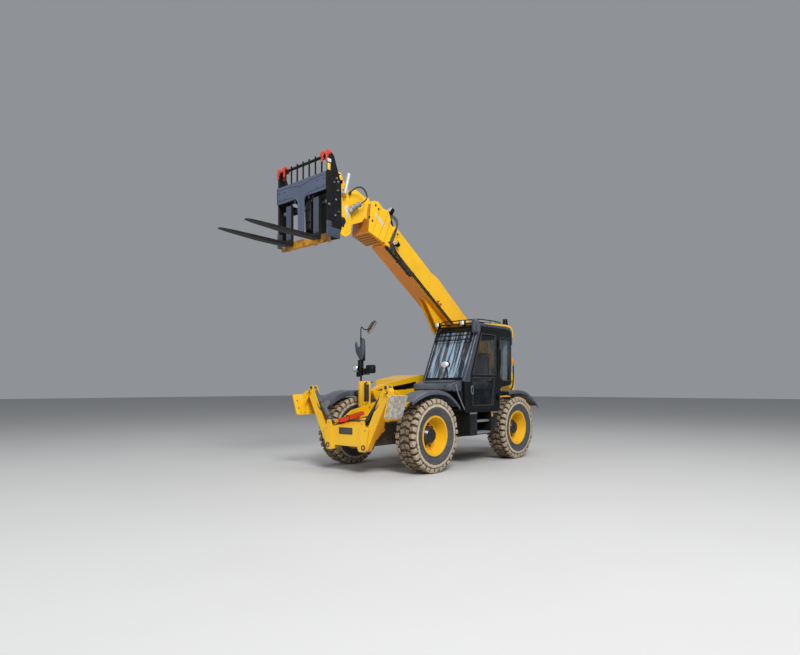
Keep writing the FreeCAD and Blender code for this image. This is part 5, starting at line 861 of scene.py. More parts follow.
def make_boom_details():
    """Hoses with their clamps, wear-pad screws, ribs, seams, lamps and caps along the three sections."""
    side = 0.18
    for k, n in enumerate((-0.196, -0.232)):
        hose = Shape().tube([(4.70, side + 0.005, n + 0.10), (4.64, side + 0.05, n + 0.04), (4.5, side + 0.017, n), (3.6, side + 0.017, n),
                             (2.6, side + 0.017, n), (1.6, side + 0.017, n), (1.05, side + 0.02, n), (0.72, side + 0.045, n + 0.02),
                             (0.5, side + 0.03, n + 0.09)], 0.0125, 12, 10)
        boom_shape(hose, "boom_hose_%d" % (k + 1), "boom_outer_section", "cab_dark", LOOKS["hose"])
    clamp = Shape()
    clamp.box((-0.014, 0.0, -0.250), (0.014, 0.033, -0.178), 0.005)
    clamp.rod((0.0, 0.03, -0.214), (0.0, 0.037, -0.214), 0.008, 6)
    clamps = repeated(ROW, clamp.mesh("clamp"), LOOKS["hose"], Count=7, Start=(1.15, side, 0.0), Step=(0.55, 0.0, 0.0))
    clamps.transform(BOOM_TURN)
    piece("hose_clamps", clamps, "boom_outer_section", "cab_dark", sharp=35.0)
    # Wear-pad screws near the open ends of the outer and the mid section
    for body, s0, half in (("boom_outer_section", 4.615, 0.18), ("boom_mid_section", 5.235, 0.2)):
        spots = []
        for hand in (1.0, -1.0):
            for ds in (0.0, 0.09):
                for n in (-0.17, 0.115):
                    spots.append((BOOM_TURN @ Vector((s0 + ds, hand * half, n)), (0, hand, 0)))
        bolts("pad_screws_" + body, spots, body, "fork_steel", 0.03, 0.014, LOOKS["nut"])
    front = Shape()
    for hand in (1.0, -1.0):
        front.box((4.56, hand * 0.18 - 0.003, -0.23), (4.735, hand * 0.18 + 0.003, -0.11), 0.002)
        front.box((4.56, hand * 0.18 - 0.003, 0.06), (4.735, hand * 0.18 + 0.003, 0.17), 0.002)
    front.box((4.70, -0.176, 0.2), (4.738, 0.176, 0.209), 0.002)
    boom_shape(front, "outer_pad_plates", "boom_outer_section", "paint_yellow")
    # The collar's ribs in ochre: painted shade, the yellow paint as it looks in the boom's shadow
    rib = Shape().plate([(0.0, 0.004), (0.0, -0.020), (0.040, -0.031), (0.040, -0.007)], -0.192, 0.192, "Y", 0.004).mesh("rib")
    mesh = repeated(ROW, rib, LOOKS["ochre"], Count=6, Start=(4.842, 0.0, -0.299), Step=(0.064, 0.0, -0.0182))
    mesh.transform(BOOM_TURN)
    piece("collar_ribs", mesh, "boom_mid_section", "paint_yellow", sharp=35.0)
    swoosh = Shape()
    swoosh.plate([(5.262, 0.010), (5.225, -0.045), (5.10, -0.035), (4.99, -0.065), (4.955, -0.02), (5.08, 0.015), (5.2, 0.0)],
                 0.1995, 0.2012, "Y", 0.0)
    boom_shape(swoosh, "collar_stroke", "boom_mid_section", "paint_yellow", LOOKS["pale_label"])
    seam = Shape()
    for hand in (1.0, -1.0):
        seam.tube([(5.205, hand * 0.2005, 0.18), (5.165, hand * 0.2005, -0.1), (5.125, hand * 0.2005, -0.355)], 0.0045, 8, 3)
        seam.tube([(4.86, hand * 0.2005, -0.295), (5.1, hand * 0.2005, -0.365), (5.2, hand * 0.2005, -0.392)], 0.0045, 8, 3)
        seam.tube([(5.03, hand * 0.2005, 0.25), (4.99, hand * 0.2005, 0.0), (4.965, hand * 0.2005, -0.31)], 0.005, 8, 3)
    boom_shape(seam, "collar_seams", "boom_mid_section", "paint_yellow", LOOKS["ochre"])
    weld = Shape()
    for hand in (1.0, -1.0):
        weld.tube([(2.03, hand * 0.075, -0.25), (2.6, hand * 0.079, -0.252), (3.3, hand * 0.075, -0.25)], 0.006, 8, 3)
        for s in (1.33, 2.06, 2.84):
            weld.box((s - 0.002, hand * 0.18 - 0.001, -0.245), (s + 0.002, hand * 0.18 + 0.0015, 0.2), 0.0005)
    boom_shape(weld, "boom_welds", "boom_outer_section", "paint_yellow")
    # Work lamps at the outer section's front
    s, n, y = 4.60, -0.09, 0.182
    shell = Shape()
    shell.rod((s, y + 0.055, n), (s - 0.085, y + 0.055, n + 0.01), 0.052, 28, tip=0.036, bevel=0.004)
    shell.box((s - 0.06, y - 0.002, n - 0.02), (s - 0.02, y + 0.03, n + 0.02), 0.003)
    boom_shape(shell, "boom_lamp_shell", "boom_outer_section", "cab_dark")
    face = Shape().turned(((0.0, 0.0), (0.046, 0.0), (0.046, 0.006), (0.0, 0.010)), (s, y + 0.055, n), "X", 28)
    boom_shape(face, "boom_lamp_lens", "boom_outer_section", "glass", LOOKS["lens"])
    top = Shape()
    top.plate([(4.66, 0.205), (4.73, 0.205), (4.90, 0.335), (4.985, 0.345), (4.985, 0.36), (4.88, 0.355)], 0.085, 0.10, "Y", 0.002)
    top.box((4.885, 0.045, 0.345), (4.965, 0.165, 0.455), 0.012)
    boom_shape(top, "top_lamp_shell", "boom_outer_section", "cab_dark")
    face = Shape().box((4.962, 0.055, 0.355), (4.972, 0.155, 0.445), 0.004)
    boom_shape(face, "top_lamp_lens", "boom_outer_section", "glass", LOOKS["lens"])
    for k in range(3):
        off = 0.022 * k
        hose = Shape().tube([(4.90, 0.10, 0.37 - off), (4.82, 0.17, 0.36 - off), (4.73, 0.222 - off * 0.2, 0.27 - off), (4.725 - off, 0.212, 0.06),
                             (4.71 - off, 0.204, -0.12), (4.66 - off, 0.204, -0.22), (4.55 - off, 0.198, -0.262 - off * 0.3)], 0.0115, 10, 8)
        boom_shape(hose, "mouth_hose_%d" % (k + 1), "boom_outer_section", "cab_dark", LOOKS["hose"])
    bundle = Shape()
    for k in range(4):
        bundle.tube([(4.70, 0.19 - 0.025 * k, -0.258), (4.4, 0.188 - 0.02 * k, -0.260), (3.9, 0.185 - 0.018 * k, -0.257)], 0.0085, 10, 4)
    for s in (4.62, 4.3, 3.98):
        bundle.box((s - 0.008, 0.10, -0.272), (s + 0.008, 0.200, -0.248), 0.003)
    boom_shape(bundle, "mouth_bundle", "boom_outer_section", "cab_dark", LOOKS["hose"])
    caps = Shape()
    for s in (2.93, 3.02):
        caps.rod((s, side + 0.002, -0.14), (s, side + 0.042, -0.14), 0.019, 16, bevel=0.003)
    boom_shape(caps, "red_caps", "boom_outer_section", "signal_red")
    # Screws on the pivot's cover and the lift ram's pins
    spots = []
    for hand in (1.0, -1.0):
        for dx, dz in ((0.03, 0.03), (-0.03, -0.03)):
            spots.append((at(-4.0 + dx, -0.08 + hand * 0.329, 1.62 + dz), (0, hand, 0)))
    bolts("pivot_screws", spots, "chassis", "fork_steel", 0.024, 0.013, LOOKS["nut"])
    pin = Shape()
    for hand in (1.0, -1.0):
        pin.rod((2.45, hand * 0.078, -0.46), (2.45, hand * 0.094, -0.46), 0.058, 28, bevel=0.004)
        pin.box((2.40, hand * 0.084 - 0.006, -0.40), (2.50, hand * 0.084 + 0.006, -0.37), 0.002)
    boom_shape(pin, "lift_pin_caps", "boom_outer_section", "fork_steel", LOOKS["nut"])


# Hitch and fork carriage

def make_hitch_details():
    """The tilt pin's keeper plates, the blank decal and short hoses on the hitch."""
    keeper = Shape()
    for hand in (1.0, -1.0):
        y = -0.08 + hand * 0.154
        keeper.rod(at(1.143, y, 4.189), at(1.143, y + hand * 0.014, 4.189), 0.062, 28, bevel=0.003)
        keeper.box(at(1.11, y - 0.005, 4.09), at(1.176, y + 0.005, 4.15), 0.002)
        keeper.rod(at(1.21, y, 4.864), at(1.21, y + hand * 0.02, 4.864), 0.045, 28, bevel=0.003)
    piece("hitch_pin_caps", keeper.mesh("caps"), "carriage", "fork_steel", LOOKS["nut"])
    decal = Shape().plate([(0.985, 4.29), (1.05, 4.25), (1.10, 4.44), (1.03, 4.48)], 0.0738, 0.0752, "Y", 0.0004)
    mesh = decal.mesh("decal")
    mesh.transform(Matrix.Translation((AXLE, 0, 0)))
    piece("hitch_decal", mesh, "carriage", "paint_yellow", LOOKS["pale_label"])
    post = Shape().rod(at(1.185, 0.172, 4.60), at(1.09, 0.172, 4.955), 0.028, 20, bevel=0.008)
    for px, z in ((1.176, 4.635), (1.155, 4.70)):
        post.box(at(px - 0.02, 0.0735, z - 0.012), at(px + 0.02, 0.175, z + 0.012), 0.003)
    piece("hitch_tube", post.mesh("tube"), "carriage", "paint_yellow", LOOKS["beam"])
    back, front = Vector(at(0.80, 0.13, 4.535)), Vector(at(1.012, 0.13, 4.396))
    way = (front - back).normalized()
    lamp = Shape().rod(back, front, 0.040, 28, bevel=0.004)
    for start, end, radius in ((0.0, 0.03, 0.046), (0.10, 0.14, 0.048), (0.19, 0.254, 0.050)):
        lamp.rod(back + way * start, back + way * end, radius, 28, bevel=0.004)
    lamp.box(at(0.945, 0.0735, 4.39), at(0.985, 0.105, 4.44), 0.004)
    piece("hitch_lamp_shell", lamp.mesh("shell"), "carriage", "cab_dark", LOOKS["satin"])
    face = Shape().rod(front, front + way * 0.006, 0.041, 28)
    piece("hitch_lamp_lens", face.mesh("face"), "carriage", "glass", LOOKS["lens"])
    arch = Shape().tube([at(0.985, 0.082, 4.70), at(0.955, 0.12, 4.735), at(0.90, 0.18, 4.79), at(0.80, 0.20, 4.80), at(0.71, 0.20, 4.735),
                         at(0.695, 0.20, 4.65), at(0.73, 0.185, 4.59), at(0.79, 0.14, 4.542)], 0.0125, 10, 8)
    arch.rod(at(1.0, 0.082, 4.68), at(0.965, 0.085, 4.715), 0.020, 6)
    arch.box(at(0.965, 0.0735, 4.655), at(1.015, 0.10, 4.695), 0.004)
    piece("hitch_arch_hose", arch.mesh("arch"), "carriage", "cab_dark", LOOKS["hose"])
    block = Shape().plate([(1.06, 4.60), (1.10, 4.72), (1.155, 4.86), (1.175, 4.945), (1.24, 4.965), (1.285, 4.90), (1.27, 4.78), (1.245, 4.60)],
                          0.052, 0.098, "Y", 0.008)
    block.rod((1.215, 0.094, 4.885), (1.215, 0.108, 4.885), 0.034, 24, bevel=0.003)
    mesh = block.mesh("cheek")
    mesh.transform(Matrix.Translation((AXLE, 0, 0)))
    piece("hitch_cheek", mesh, "carriage", "paint_yellow")


def make_carriage_details():
    """Pressed lines on the T-plate, labels, a near-black valve block with hoses that also paints the shade between the
    post and the left fork, bolts and the forks' stops.
    """
    x = 1.894
    lines = Shape()
    for hand in (1.0, -1.0):
        lines.tube([at(x, -0.08 + hand * 0.045, 3.93), at(x, -0.08 + hand * 0.05, 4.25), at(x, -0.08 + hand * 0.06, 4.37),
                    at(x, -0.08 + hand * 0.16, 4.455), at(x, -0.08 + hand * 0.32, 4.47), at(x, -0.08 + hand * 0.57, 4.47)], 0.007, 8, 8)
        lines.tube([at(x, -0.08 + hand * 0.57, 4.65), at(x, -0.08 + hand * 0.30, 4.65), at(x, -0.08 + hand * 0.10, 4.62),
                    at(x, -0.08, 4.60)], 0.007, 8, 8)
    piece("pressed_lines", lines.mesh("lines"), "carriage", "carriage_blue")
    trim = Shape()
    trim.box(at(1.80, 0.5252, 4.835), at(1.872, 0.5268, 4.888), 0.0004)
    piece("guard_label_pale", trim.mesh("label"), "carriage", "paint_yellow", LOOKS["pale_label"])
    trim = Shape()
    trim.box(at(1.815, 0.5252, 4.715), at(1.872, 0.5268, 4.815), 0.0004)
    piece("guard_label_yellow", trim.mesh("label"), "carriage", "paint_yellow", LOOKS["yellow_label"])
    # A near-black block where there is shade between the T-plate's post and the left fork: painted shade, drawn as a
    # valve block
    block = Shape()
    block.box(at(1.79, 0.012, 3.90), at(1.872, 0.145, 4.32), 0.008)
    for k in range(4):
        block.rod(at(1.86, 0.045 + 0.065 * (k % 2), 4.0 + 0.2 * (k // 2)), at(1.886, 0.045 + 0.065 * (k % 2), 4.0 + 0.2 * (k // 2)), 0.017, 6)
    piece("valve_block", block.mesh("block"), "carriage", "cab_dark")
    hoses = Shape()
    for k in range(2):
        y = 0.05 + 0.06 * k
        hoses.tube([at(1.83, y, 4.31), at(1.83, y, 4.40), at(1.76, y - 0.02, 4.44), at(1.66, y - 0.04, 4.36), at(1.60, y - 0.05, 4.20),
                    at(1.62, y - 0.05, 4.02), at(1.66, y - 0.05, 3.82)], 0.012, 10, 8)
    piece("carriage_hoses", hoses.mesh("hoses"), "carriage", "cab_dark", LOOKS["hose"])
    brace = Shape().rod(at(1.80, 0.505, 4.42), at(1.70, 0.33, 3.84), 0.016, 14)
    piece("carriage_brace", brace.mesh("brace"), "carriage", "carriage_blue")
    spots = []
    for y in (0.525, -0.685):
        hand = 1.0 if y > 0 else -1.0
        for px, pz in ((1.70, 4.30), (1.66, 4.58), (1.84, 4.20)):
            spots.append((at(px, y, pz), (0, hand, 0)))
    bolts("end_plate_bolts", spots, "carriage", "fork_steel", 0.026, 0.016, LOOKS["satin"])
    shoes, straps, clips = Shape(), Shape(), Shape()
    for y in (0.525, -0.685):
        hand = 1.0 if y > 0 else -1.0
        y0, y1 = sorted((y - hand * 0.02, y + hand * 0.014))
        shoes.box(at(1.625, y0, 3.715), at(1.882, y1, 3.86), 0.006)
        shoes.box(at(1.80, y0, 3.86), at(1.882, y1, 3.95), 0.006)
        y0, y1 = sorted((y - hand * 0.024, y + hand * 0.006))
        straps.box(at(1.872, y0, 4.845), at(1.890, y1, 4.98), 0.006)
        for px, pz, r in ((1.845, 4.992, 0.040), (1.872, 4.93, 0.022)):
            straps.rod(at(px, y0, pz), at(px, y1, pz), r, 24, bevel=0.006)
        inside = y - hand * 0.14
        straps.turned(((0.030, -0.014), (0.062, -0.014), (0.062, 0.014), (0.030, 0.014)), at(1.825, inside, 4.972), "Y", 28)
        straps.box(at(1.845, inside - 0.012, 4.86), at(1.870, inside + 0.012, 4.94), 0.006)
        for px, pz, size in ((1.70, 4.62, 0.014), (1.75, 4.55, 0.010), (1.68, 4.44, 0.012), (1.73, 4.05, 0.014), (1.66, 4.12, 0.010)):
            clips.rod(at(px, y, pz), at(px, y + hand * 0.03, pz), size, 12, bevel=0.003)
    piece("end_shoes", shoes.mesh("shoes"), "carriage", "carriage_blue", LOOKS["slate"])
    piece("hook_straps", straps.mesh("straps"), "carriage", "signal_red")
    piece("end_clips", clips.mesh("clips"), "carriage", "fork_steel", LOOKS["satin"])
    band = [(at(x - 0.0005, -0.08 + y, z), (1, 0, 0)) for y in (-0.55, -0.40, 0.40, 0.55) for z in (4.50, 4.60)]
    bolts("band_bolts", band, "carriage", "carriage_blue", 0.024, 0.012)
    stops = Shape()
    for hand in (1.0, -1.0):
        y = -0.08 + hand * 0.335
        for edge in (1.0, -1.0):
            stops.rod(at(1.742, y + edge * 0.069, 4.30), at(1.742, y + edge * 0.094, 4.30), 0.043, 24, bevel=0.004)
    piece("fork_collars", stops.mesh("collars"), "carriage", "fork_steel", LOOKS["nut"])


# Cab

def frame_strip(outline, y, radius, rounds=0):
    """A rubber strip round a window's outline in XZ."""
    strip = Shape()
    for a, b in zip(outline, outline[1:] + outline[:1]):
        strip.rod(at(a[0], y, a[1]), at(b[0], y, b[1]), radius, 8)
    return strip


def make_cab_details():
    """Lamps, wiper, seals, handle, rails, the roof's yellow cap and the trim in front of the door."""
    for k, y in enumerate((0.235, 0.826)):
        body = Shape().box(at(-1.262, y - 0.045, 2.612), at(-1.205, y + 0.045, 2.698), 0.006)
        body.box(at(-1.30, y - 0.012, 2.60), at(-1.25, y + 0.012, 2.65), 0.002)
        piece("work_lamp_%d" % (k + 1), body.mesh("lamp"), "chassis", "cab_dark")
        face = Shape().box(at(-1.207, y - 0.04, 2.617), at(-1.200, y + 0.04, 2.693), 0.002)
        piece("work_lamp_lens_%d" % (k + 1), face.mesh("lens"), "chassis", "glass", LOOKS["lens"])
    lamp = Shape()
    rows = ((0.0, -0.07), (0.045, -0.062), (0.078, -0.030), (0.085, 0.0), (0.082, 0.012), (0.0, 0.012))
    lamp.turned(rows, (0, 0, 0), "X", 32)
    oval = lamp.mesh("oval")
    oval.transform(Matrix.Translation(at(-0.80, 0.7275, 1.862)) @ Matrix.Diagonal((1.0, 1.25, 0.82, 1.0)))
    piece("front_lamp_shell", oval, "chassis", "cab_dark")
    lens = Shape().turned(((0.0, 0.0), (0.074, 0.0), (0.066, 0.012), (0.0, 0.018)), (0, 0, 0), "X", 32).mesh("lens")
    lens.transform(Matrix.Translation(at(-0.789, 0.7275, 1.862)) @ Matrix.Diagonal((1.0, 1.25, 0.82, 1.0)))
    piece("front_lamp_lens", lens, "chassis", "glass", LOOKS["lens"])
    stalk = Shape().tube([at(-0.80, 0.76, 1.53), at(-0.83, 0.76, 1.66), at(-0.84, 0.745, 1.78), at(-0.83, 0.735, 1.83)], 0.013, 12, 6)
    stalk.box(at(-0.835, 0.72, 1.528), at(-0.765, 0.80, 1.545), 0.003)
    piece("front_lamp_stalk", stalk.mesh("stalk"), "chassis", "cab_dark")
    wiper = Shape()
    wiper.rod(at(-0.905, 0.56, 1.60), at(-0.868, 0.56, 1.60), 0.02, 16, bevel=0.003)
    wiper.tube([at(-0.865, 0.56, 1.60), at(-0.93, 0.50, 1.80), at(-1.03, 0.42, 2.02)], 0.007, 8, 4)
    wiper.tube([at(-0.925, 0.47, 1.74), at(-1.02, 0.43, 1.98), at(-1.115, 0.39, 2.20)], 0.006, 8, 4)
    piece("wiper", wiper.mesh("wiper"), "chassis", "cab_dark", LOOKS["hose"])
    door_upper = [(-1.155, 1.686), (-1.44, 2.45), (-1.945, 2.45), (-1.945, 1.686)]
    door_lower = [(-1.15, 1.11), (-1.15, 1.626), (-1.90, 1.626), (-1.84, 1.11)]
    for k, outline in enumerate((door_upper, door_lower)):
        piece("door_seal_%d" % (k + 1), frame_strip(outline, 1.1, 0.009).mesh("seal"), "door", "cab_dark", LOOKS["hose"])
    quarter = [(-2.10, 1.64), (-2.10, 2.42), (-2.47, 2.42), (-2.47, 1.58), (-2.2, 1.58)]
    piece("quarter_seal", frame_strip(quarter, 1.1, 0.009).mesh("seal"), "chassis", "cab_dark", LOOKS["hose"])
    handle = Shape()
    handle.turned(((0.052, -0.008), (0.064, -0.008), (0.064, 0.008), (0.052, 0.008)), (0, 0, 0), "Y", 32)
    ring = handle.mesh("ring")
    ring.transform(Matrix.Translation(at(-1.125, 1.108, 1.396)) @ Matrix.Diagonal((0.55, 1.0, 1.3, 1.0)))
    piece("door_handle", ring, "door", "chrome_rod", LOOKS["satin"])
    rails = Shape()
    rails.tube([at(-2.04, 1.09, 1.75), at(-2.04, 1.14, 1.78), at(-2.04, 1.145, 2.0), at(-2.04, 1.14, 2.22), at(-2.04, 1.09, 2.25)], 0.011, 12, 6)
    rails.tube([at(-2.525, 1.03, 2.0), at(-2.66, 1.04, 2.01), at(-2.715, 1.04, 1.95), at(-2.72, 1.04, 1.7), at(-2.715, 1.04, 1.50),
                at(-2.66, 1.04, 1.42), at(-2.60, 1.04, 1.385)], 0.013, 12, 8)
    piece("grab_rails", rails.mesh("rails"), "chassis", "cab_dark")
    cap = Shape().plate([(-1.55, 2.640), (-1.55, 2.655), (-2.0, 2.676), (-2.30, 2.690), (-2.46, 2.684), (-2.56, 2.645), (-2.602, 2.56),
                         (-2.606, 2.46), (-2.560, 2.44), (-2.553, 2.54), (-2.52, 2.60), (-2.45, 2.635), (-2.30, 2.640)], 0.15, 1.108, "Y", 0.008)
    mesh = cap.mesh("cap", 50.0)
    mesh.transform(Matrix.Translation((AXLE, 0, 0)))
    piece("roof_cap", mesh, "chassis", "paint_yellow")
    beacon = Shape().rod(at(-2.25, 0.93, 2.66), at(-2.25, 0.93, 2.70), 0.038, 20, bevel=0.003)
    beacon.rod(at(-2.25, 0.93, 2.70), at(-2.25, 0.93, 2.765), 0.033, 20, tip=0.026, bevel=0.004)
    piece("green_beacon", beacon.mesh("beacon"), "chassis", "glass", LOOKS["green_lens"])
    marker = Shape().box(at(-2.60, 1.03, 1.88), at(-2.535, 1.118, 2.04), 0.014)
    marker.box(at(-1.85, 1.089, 0.885), at(-1.80, 1.098, 0.945), 0.004)
    piece("amber_lamps", marker.mesh("marker"), "chassis", "glass", LOOKS["amber_lens"])
    cover = Shape()
    cover.plate([(-0.884, 1.378), (-0.884, 1.14), (-0.95, 1.0), (-0.935, 0.99), (-0.655, 1.378)], 0.30, 1.085, "Y", 0.006)
    mesh = cover.mesh("cover")
    mesh.transform(Matrix.Translation((AXLE, 0, 0)))
    piece("front_side_panel", mesh, "chassis", "cab_dark")
    strip = Shape().tube([at(-0.645, 1.085, 1.50), at(-0.66, 1.088, 1.40), at(-0.80, 1.088, 1.18), at(-0.945, 1.088, 0.995)], 0.011, 10, 6)
    piece("front_side_strip", strip.mesh("strip"), "chassis", "step_metal", LOOKS["satin"])
    tab = Shape().plate([(0.84, 1.50), (0.87, 1.39), (1.01, 1.39), (1.035, 1.50)], -0.612, -0.597, "X", 0.003)
    mesh = tab.mesh("tab")
    mesh.transform(Matrix.Translation((AXLE, 0, 0)))
    piece("cowl_tab", mesh, "chassis", "plastic_grey")
    grille = Shape()
    for k in range(6):
        grille.box(at(-0.70 - 0.026 * k, 0.30, 1.536 + 0.005 * k), at(-0.688 - 0.026 * k, 0.95, 1.552 + 0.005 * k), 0.002)
    piece("cowl_slats", grille.mesh("slats"), "chassis", "plastic_grey")


def make_cab_trim():
    """The slate covers over the front posts and the roof's rim, with the yellow roof panel's edge."""
    post = [(-0.872, 1.545), (-0.876, 1.60), (-1.318, 2.552), (-1.345, 2.60), (-1.40, 2.60), (-1.405, 2.54), (-1.075, 1.70), (-1.062, 1.545)]
    for label, low, high in (("left", 1.047, 1.114), ("right", 0.139, 0.198)):
        mesh = Shape().plate(post, low, high, "Y", 0.014, segments=4).mesh("post", 50.0)
        mesh.transform(Matrix.Translation((AXLE, 0, 0)))
        piece("front_post_cover_" + label, mesh, "chassis", "plastic_grey", LOOKS["slate"])
    rim = [(-1.36, 2.60), (-1.42, 2.645), (-2.30, 2.652), (-2.46, 2.64), (-2.545, 2.56), (-2.555, 2.30), (-2.535, 2.30), (-2.51, 2.53),
           (-2.43, 2.585), (-2.28, 2.598), (-1.46, 2.592)]
    mesh = Shape().plate(rim, 1.085, 1.112, "Y", 0.005).mesh("rim", 50.0)
    mesh.transform(Matrix.Translation((AXLE, 0, 0)))
    piece("roof_rim_left", mesh, "chassis", "plastic_grey", LOOKS["slate"])
    brow = Shape().box(at(-1.405, 0.17, 2.642), at(-1.365, 1.04, 2.668), 0.006)
    piece("roof_brow", brow.mesh("brow"), "chassis", "paint_yellow")
    bars = Shape()
    bars.tube([at(-1.43, 0.16, 2.64), at(-1.43, 0.16, 2.715), at(-1.43, 0.22, 2.728), at(-1.43, 0.6, 2.732), at(-1.43, 0.98, 2.728), at(-1.45, 1.05, 2.726),
               at(-1.52, 1.06, 2.726), at(-1.9, 1.06, 2.732), at(-2.12, 1.06, 2.728), at(-2.17, 1.06, 2.715), at(-2.18, 1.06, 2.66)], 0.011, 10, 8)
    for spot in (at(-1.43, 0.60, 2.64), at(-1.80, 1.06, 2.645)):
        bars.rod(spot, spot + Vector((0, 0, 0.09)), 0.009, 10)
    piece("roof_bars", bars.mesh("bars"), "chassis", "cab_dark")
    gusset = Shape().plate([(-2.32, 1.46), (-2.36, 1.385), (-2.72, 1.385), (-2.742, 1.50), (-2.70, 1.63), (-2.63, 1.71), (-2.585, 1.70), (-2.53, 1.58)],
                           0.985, 1.012, "Y", 0.006)
    mesh = gusset.mesh("gusset")
    mesh.transform(Matrix.Translation((AXLE, 0, 0)))
    piece("rear_gusset", mesh, "chassis", "paint_yellow")
    eye = Shape().rod(at(-2.66, 1.010, 1.56), at(-2.66, 1.016, 1.56), 0.032, 24)
    piece("gusset_eye", eye.mesh("eye"), "chassis", "fork_steel", LOOKS["hose"])
    mirror = Shape().plate([(2.44, 1.06), (2.70, 1.05), (2.712, 1.09), (2.70, 1.155), (2.62, 1.168), (2.46, 1.15)][::-1], 0.0, 0.09, "X", 0.02, segments=4)
    mesh = mirror.mesh("housing", 60.0)
    mesh.transform(Matrix(((1, 0, 0, AXLE - 1.262), (0, 0, 1, 0), (0, 1, 0, 0), (0, 0, 0, 1))))
    piece("cab_mirror_cover", mesh, "chassis", "plastic_grey", LOOKS["slate"])


def make_cab_inside():
    """The seat's cushions on their pedestal, a console, pedals and a lever."""
    y = 0.6225
    pedestal = Shape().box(at(-2.01, y - 0.18, 1.032), at(-1.72, y + 0.18, 1.33), 0.01)
    for k in range(5):
        pedestal.box(at(-2.02, y - 0.19, 1.33 + 0.018 * k), at(-1.71, y + 0.19, 1.342 + 0.018 * k), 0.004)
    base = piece("seat_base", pedestal.mesh("base"), "chassis", "cab_dark")
    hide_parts("operator_seat")
    cushion = Shape()
    cushion.plate([(-2.06, 1.42), (-1.60, 1.42), (-1.565, 1.46), (-1.575, 1.52), (-1.63, 1.545), (-2.06, 1.515)], y - 0.235, y + 0.235, "Y", 0.03, segments=4)
    mesh = cushion.mesh("cushion", 60.0)
    mesh.transform(Matrix.Translation((AXLE, 0, 0)))
    piece("seat_cushion", mesh, "chassis", "seat_fabric")
    back = Shape()
    back.plate([(-2.075, 1.49), (-1.965, 1.51), (-1.99, 1.75), (-2.055, 2.10), (-2.085, 2.14), (-2.155, 2.12), (-2.12, 1.8)], y - 0.215, y + 0.215, "Y", 0.035, segments=4)
    mesh = back.mesh("back", 60.0)
    mesh.transform(Matrix.Translation((AXLE, 0, 0)))
    piece("seat_back", mesh, "chassis", "seat_fabric")
    console = Shape().box(at(-2.0, 0.21, 1.04), at(-1.35, 0.37, 1.50), 0.02)
    console.box(at(-1.95, 0.22, 1.50), at(-1.50, 0.36, 1.545), 0.012)
    console.rod(at(-1.50, 0.29, 1.53), at(-1.47, 0.29, 1.66), 0.012, 12)
    console.rod(at(-1.472, 0.29, 1.65), at(-1.458, 0.29, 1.735), 0.026, 16, tip=0.018, bevel=0.006)
    piece("side_console", console.mesh("console"), "chassis", "cab_dark", LOOKS["moulding"])
    for k, (py, width) in enumerate(((0.50, 0.05), (0.72, 0.06), (0.80, 0.045))):
        pedal = Shape().box(at(-1.16, py - width, 1.10), at(-1.145, py + width, 1.20), 0.004)
        pedal.rod(at(-1.155, py, 1.12), at(-1.08, py, 1.04), 0.01, 10)
        piece("pedal_%d" % (k + 1), pedal.mesh("pedal"), "chassis", "cab_dark", LOOKS["moulding"])


# Wheel guards

# Rows: x, z of a guard's top line about its wheel's middle at axle height
GUARD_LINES = {
    "front": ((0.63, 0.592), (0.55, 0.632), (0.43, 0.690), (0.29, 0.735), (0.12, 0.765), (-0.08, 0.768), (-0.25, 0.745), (-0.40, 0.695),
              (-0.52, 0.620), (-0.61, 0.555), (-0.69, 0.482)),
    "rear": ((0.38, 0.742), (0.26, 0.758), (0.10, 0.765), (-0.08, 0.762), (-0.25, 0.745), (-0.40, 0.70), (-0.52, 0.640), (-0.62, 0.592),
             (-0.70, 0.545), (-0.77, 0.495), (-0.83, 0.432)),
}


def make_guard(name, x, side):
    """A moulded wheel guard: a rounded outer shoulder, a bead along the top and a deep inner lip."""
    line = smooth_line([(a, 0.0, b) for a, b in GUARD_LINES[name.split("_")[0]]], 8)
    near, far = 0.80, 1.15
    # Columns: y, drop below the top line, for the outer skin from its outer lip to its inner one
    outer = ((far, 0.068), (far, 0.030), (far - 0.004, 0.014), (far - 0.014, 0.004), (far - 0.030, 0.0), (far - 0.060, 0.001),
             (far - 0.066, 0.007), (far - 0.078, 0.007), (far - 0.084, 0.001), (near + 0.084, 0.001), (near + 0.078, 0.007),
             (near + 0.066, 0.007), (near + 0.060, 0.001), (near + 0.020, 0.0), (near + 0.006, 0.006), (near, 0.020), (near, 0.106))
    inner = ((near + 0.007, 0.106), (near + 0.007, 0.024), (near + 0.024, 0.009), (far - 0.032, 0.009), (far - 0.014, 0.018),
             (far - 0.007, 0.032), (far - 0.007, 0.068))
    shell = Shape()
    rings = []
    for spot in line:
        rings.append([shell.bm.verts.new((spot.x + x + AXLE, side * y, spot.z + TYRE_RADIUS - drop)) for y, drop in outer + inner])
    faces = []
    for first, second in zip(rings, rings[1:]):
        for i in range(len(first)):
            j = (i + 1) % len(first)
            faces.append(shell.bm.faces.new((first[i], first[j], second[j], second[i])))
    faces += [shell.bm.faces.new(rings[0]), shell.bm.faces.new(rings[-1][::-1])]
    body = "steer_" + name if name.startswith("front") else "chassis"
    if body == "chassis":
        # Columns: y from, y to, z from, z to of the arm's bar, its foot and its end plate
        for y0, y1, z0, z1 in ((0.3305, 0.7995, 1.276, 1.320), (0.3305, 0.3465, 0.79, 1.320), (0.7875, 0.7995, 1.276, 1.366)):
            y0, y1 = sorted((side * y0, side * y1))
            shell.box(at(x - 0.04, y0, z0), at(x + 0.04, y1, z1), 0.003)
    guard = piece("guard_" + name, shell.mesh("guard", 40.0), body, "plastic_grey")
    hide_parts("fender_" + name)


# Nose, stabilisers and mast

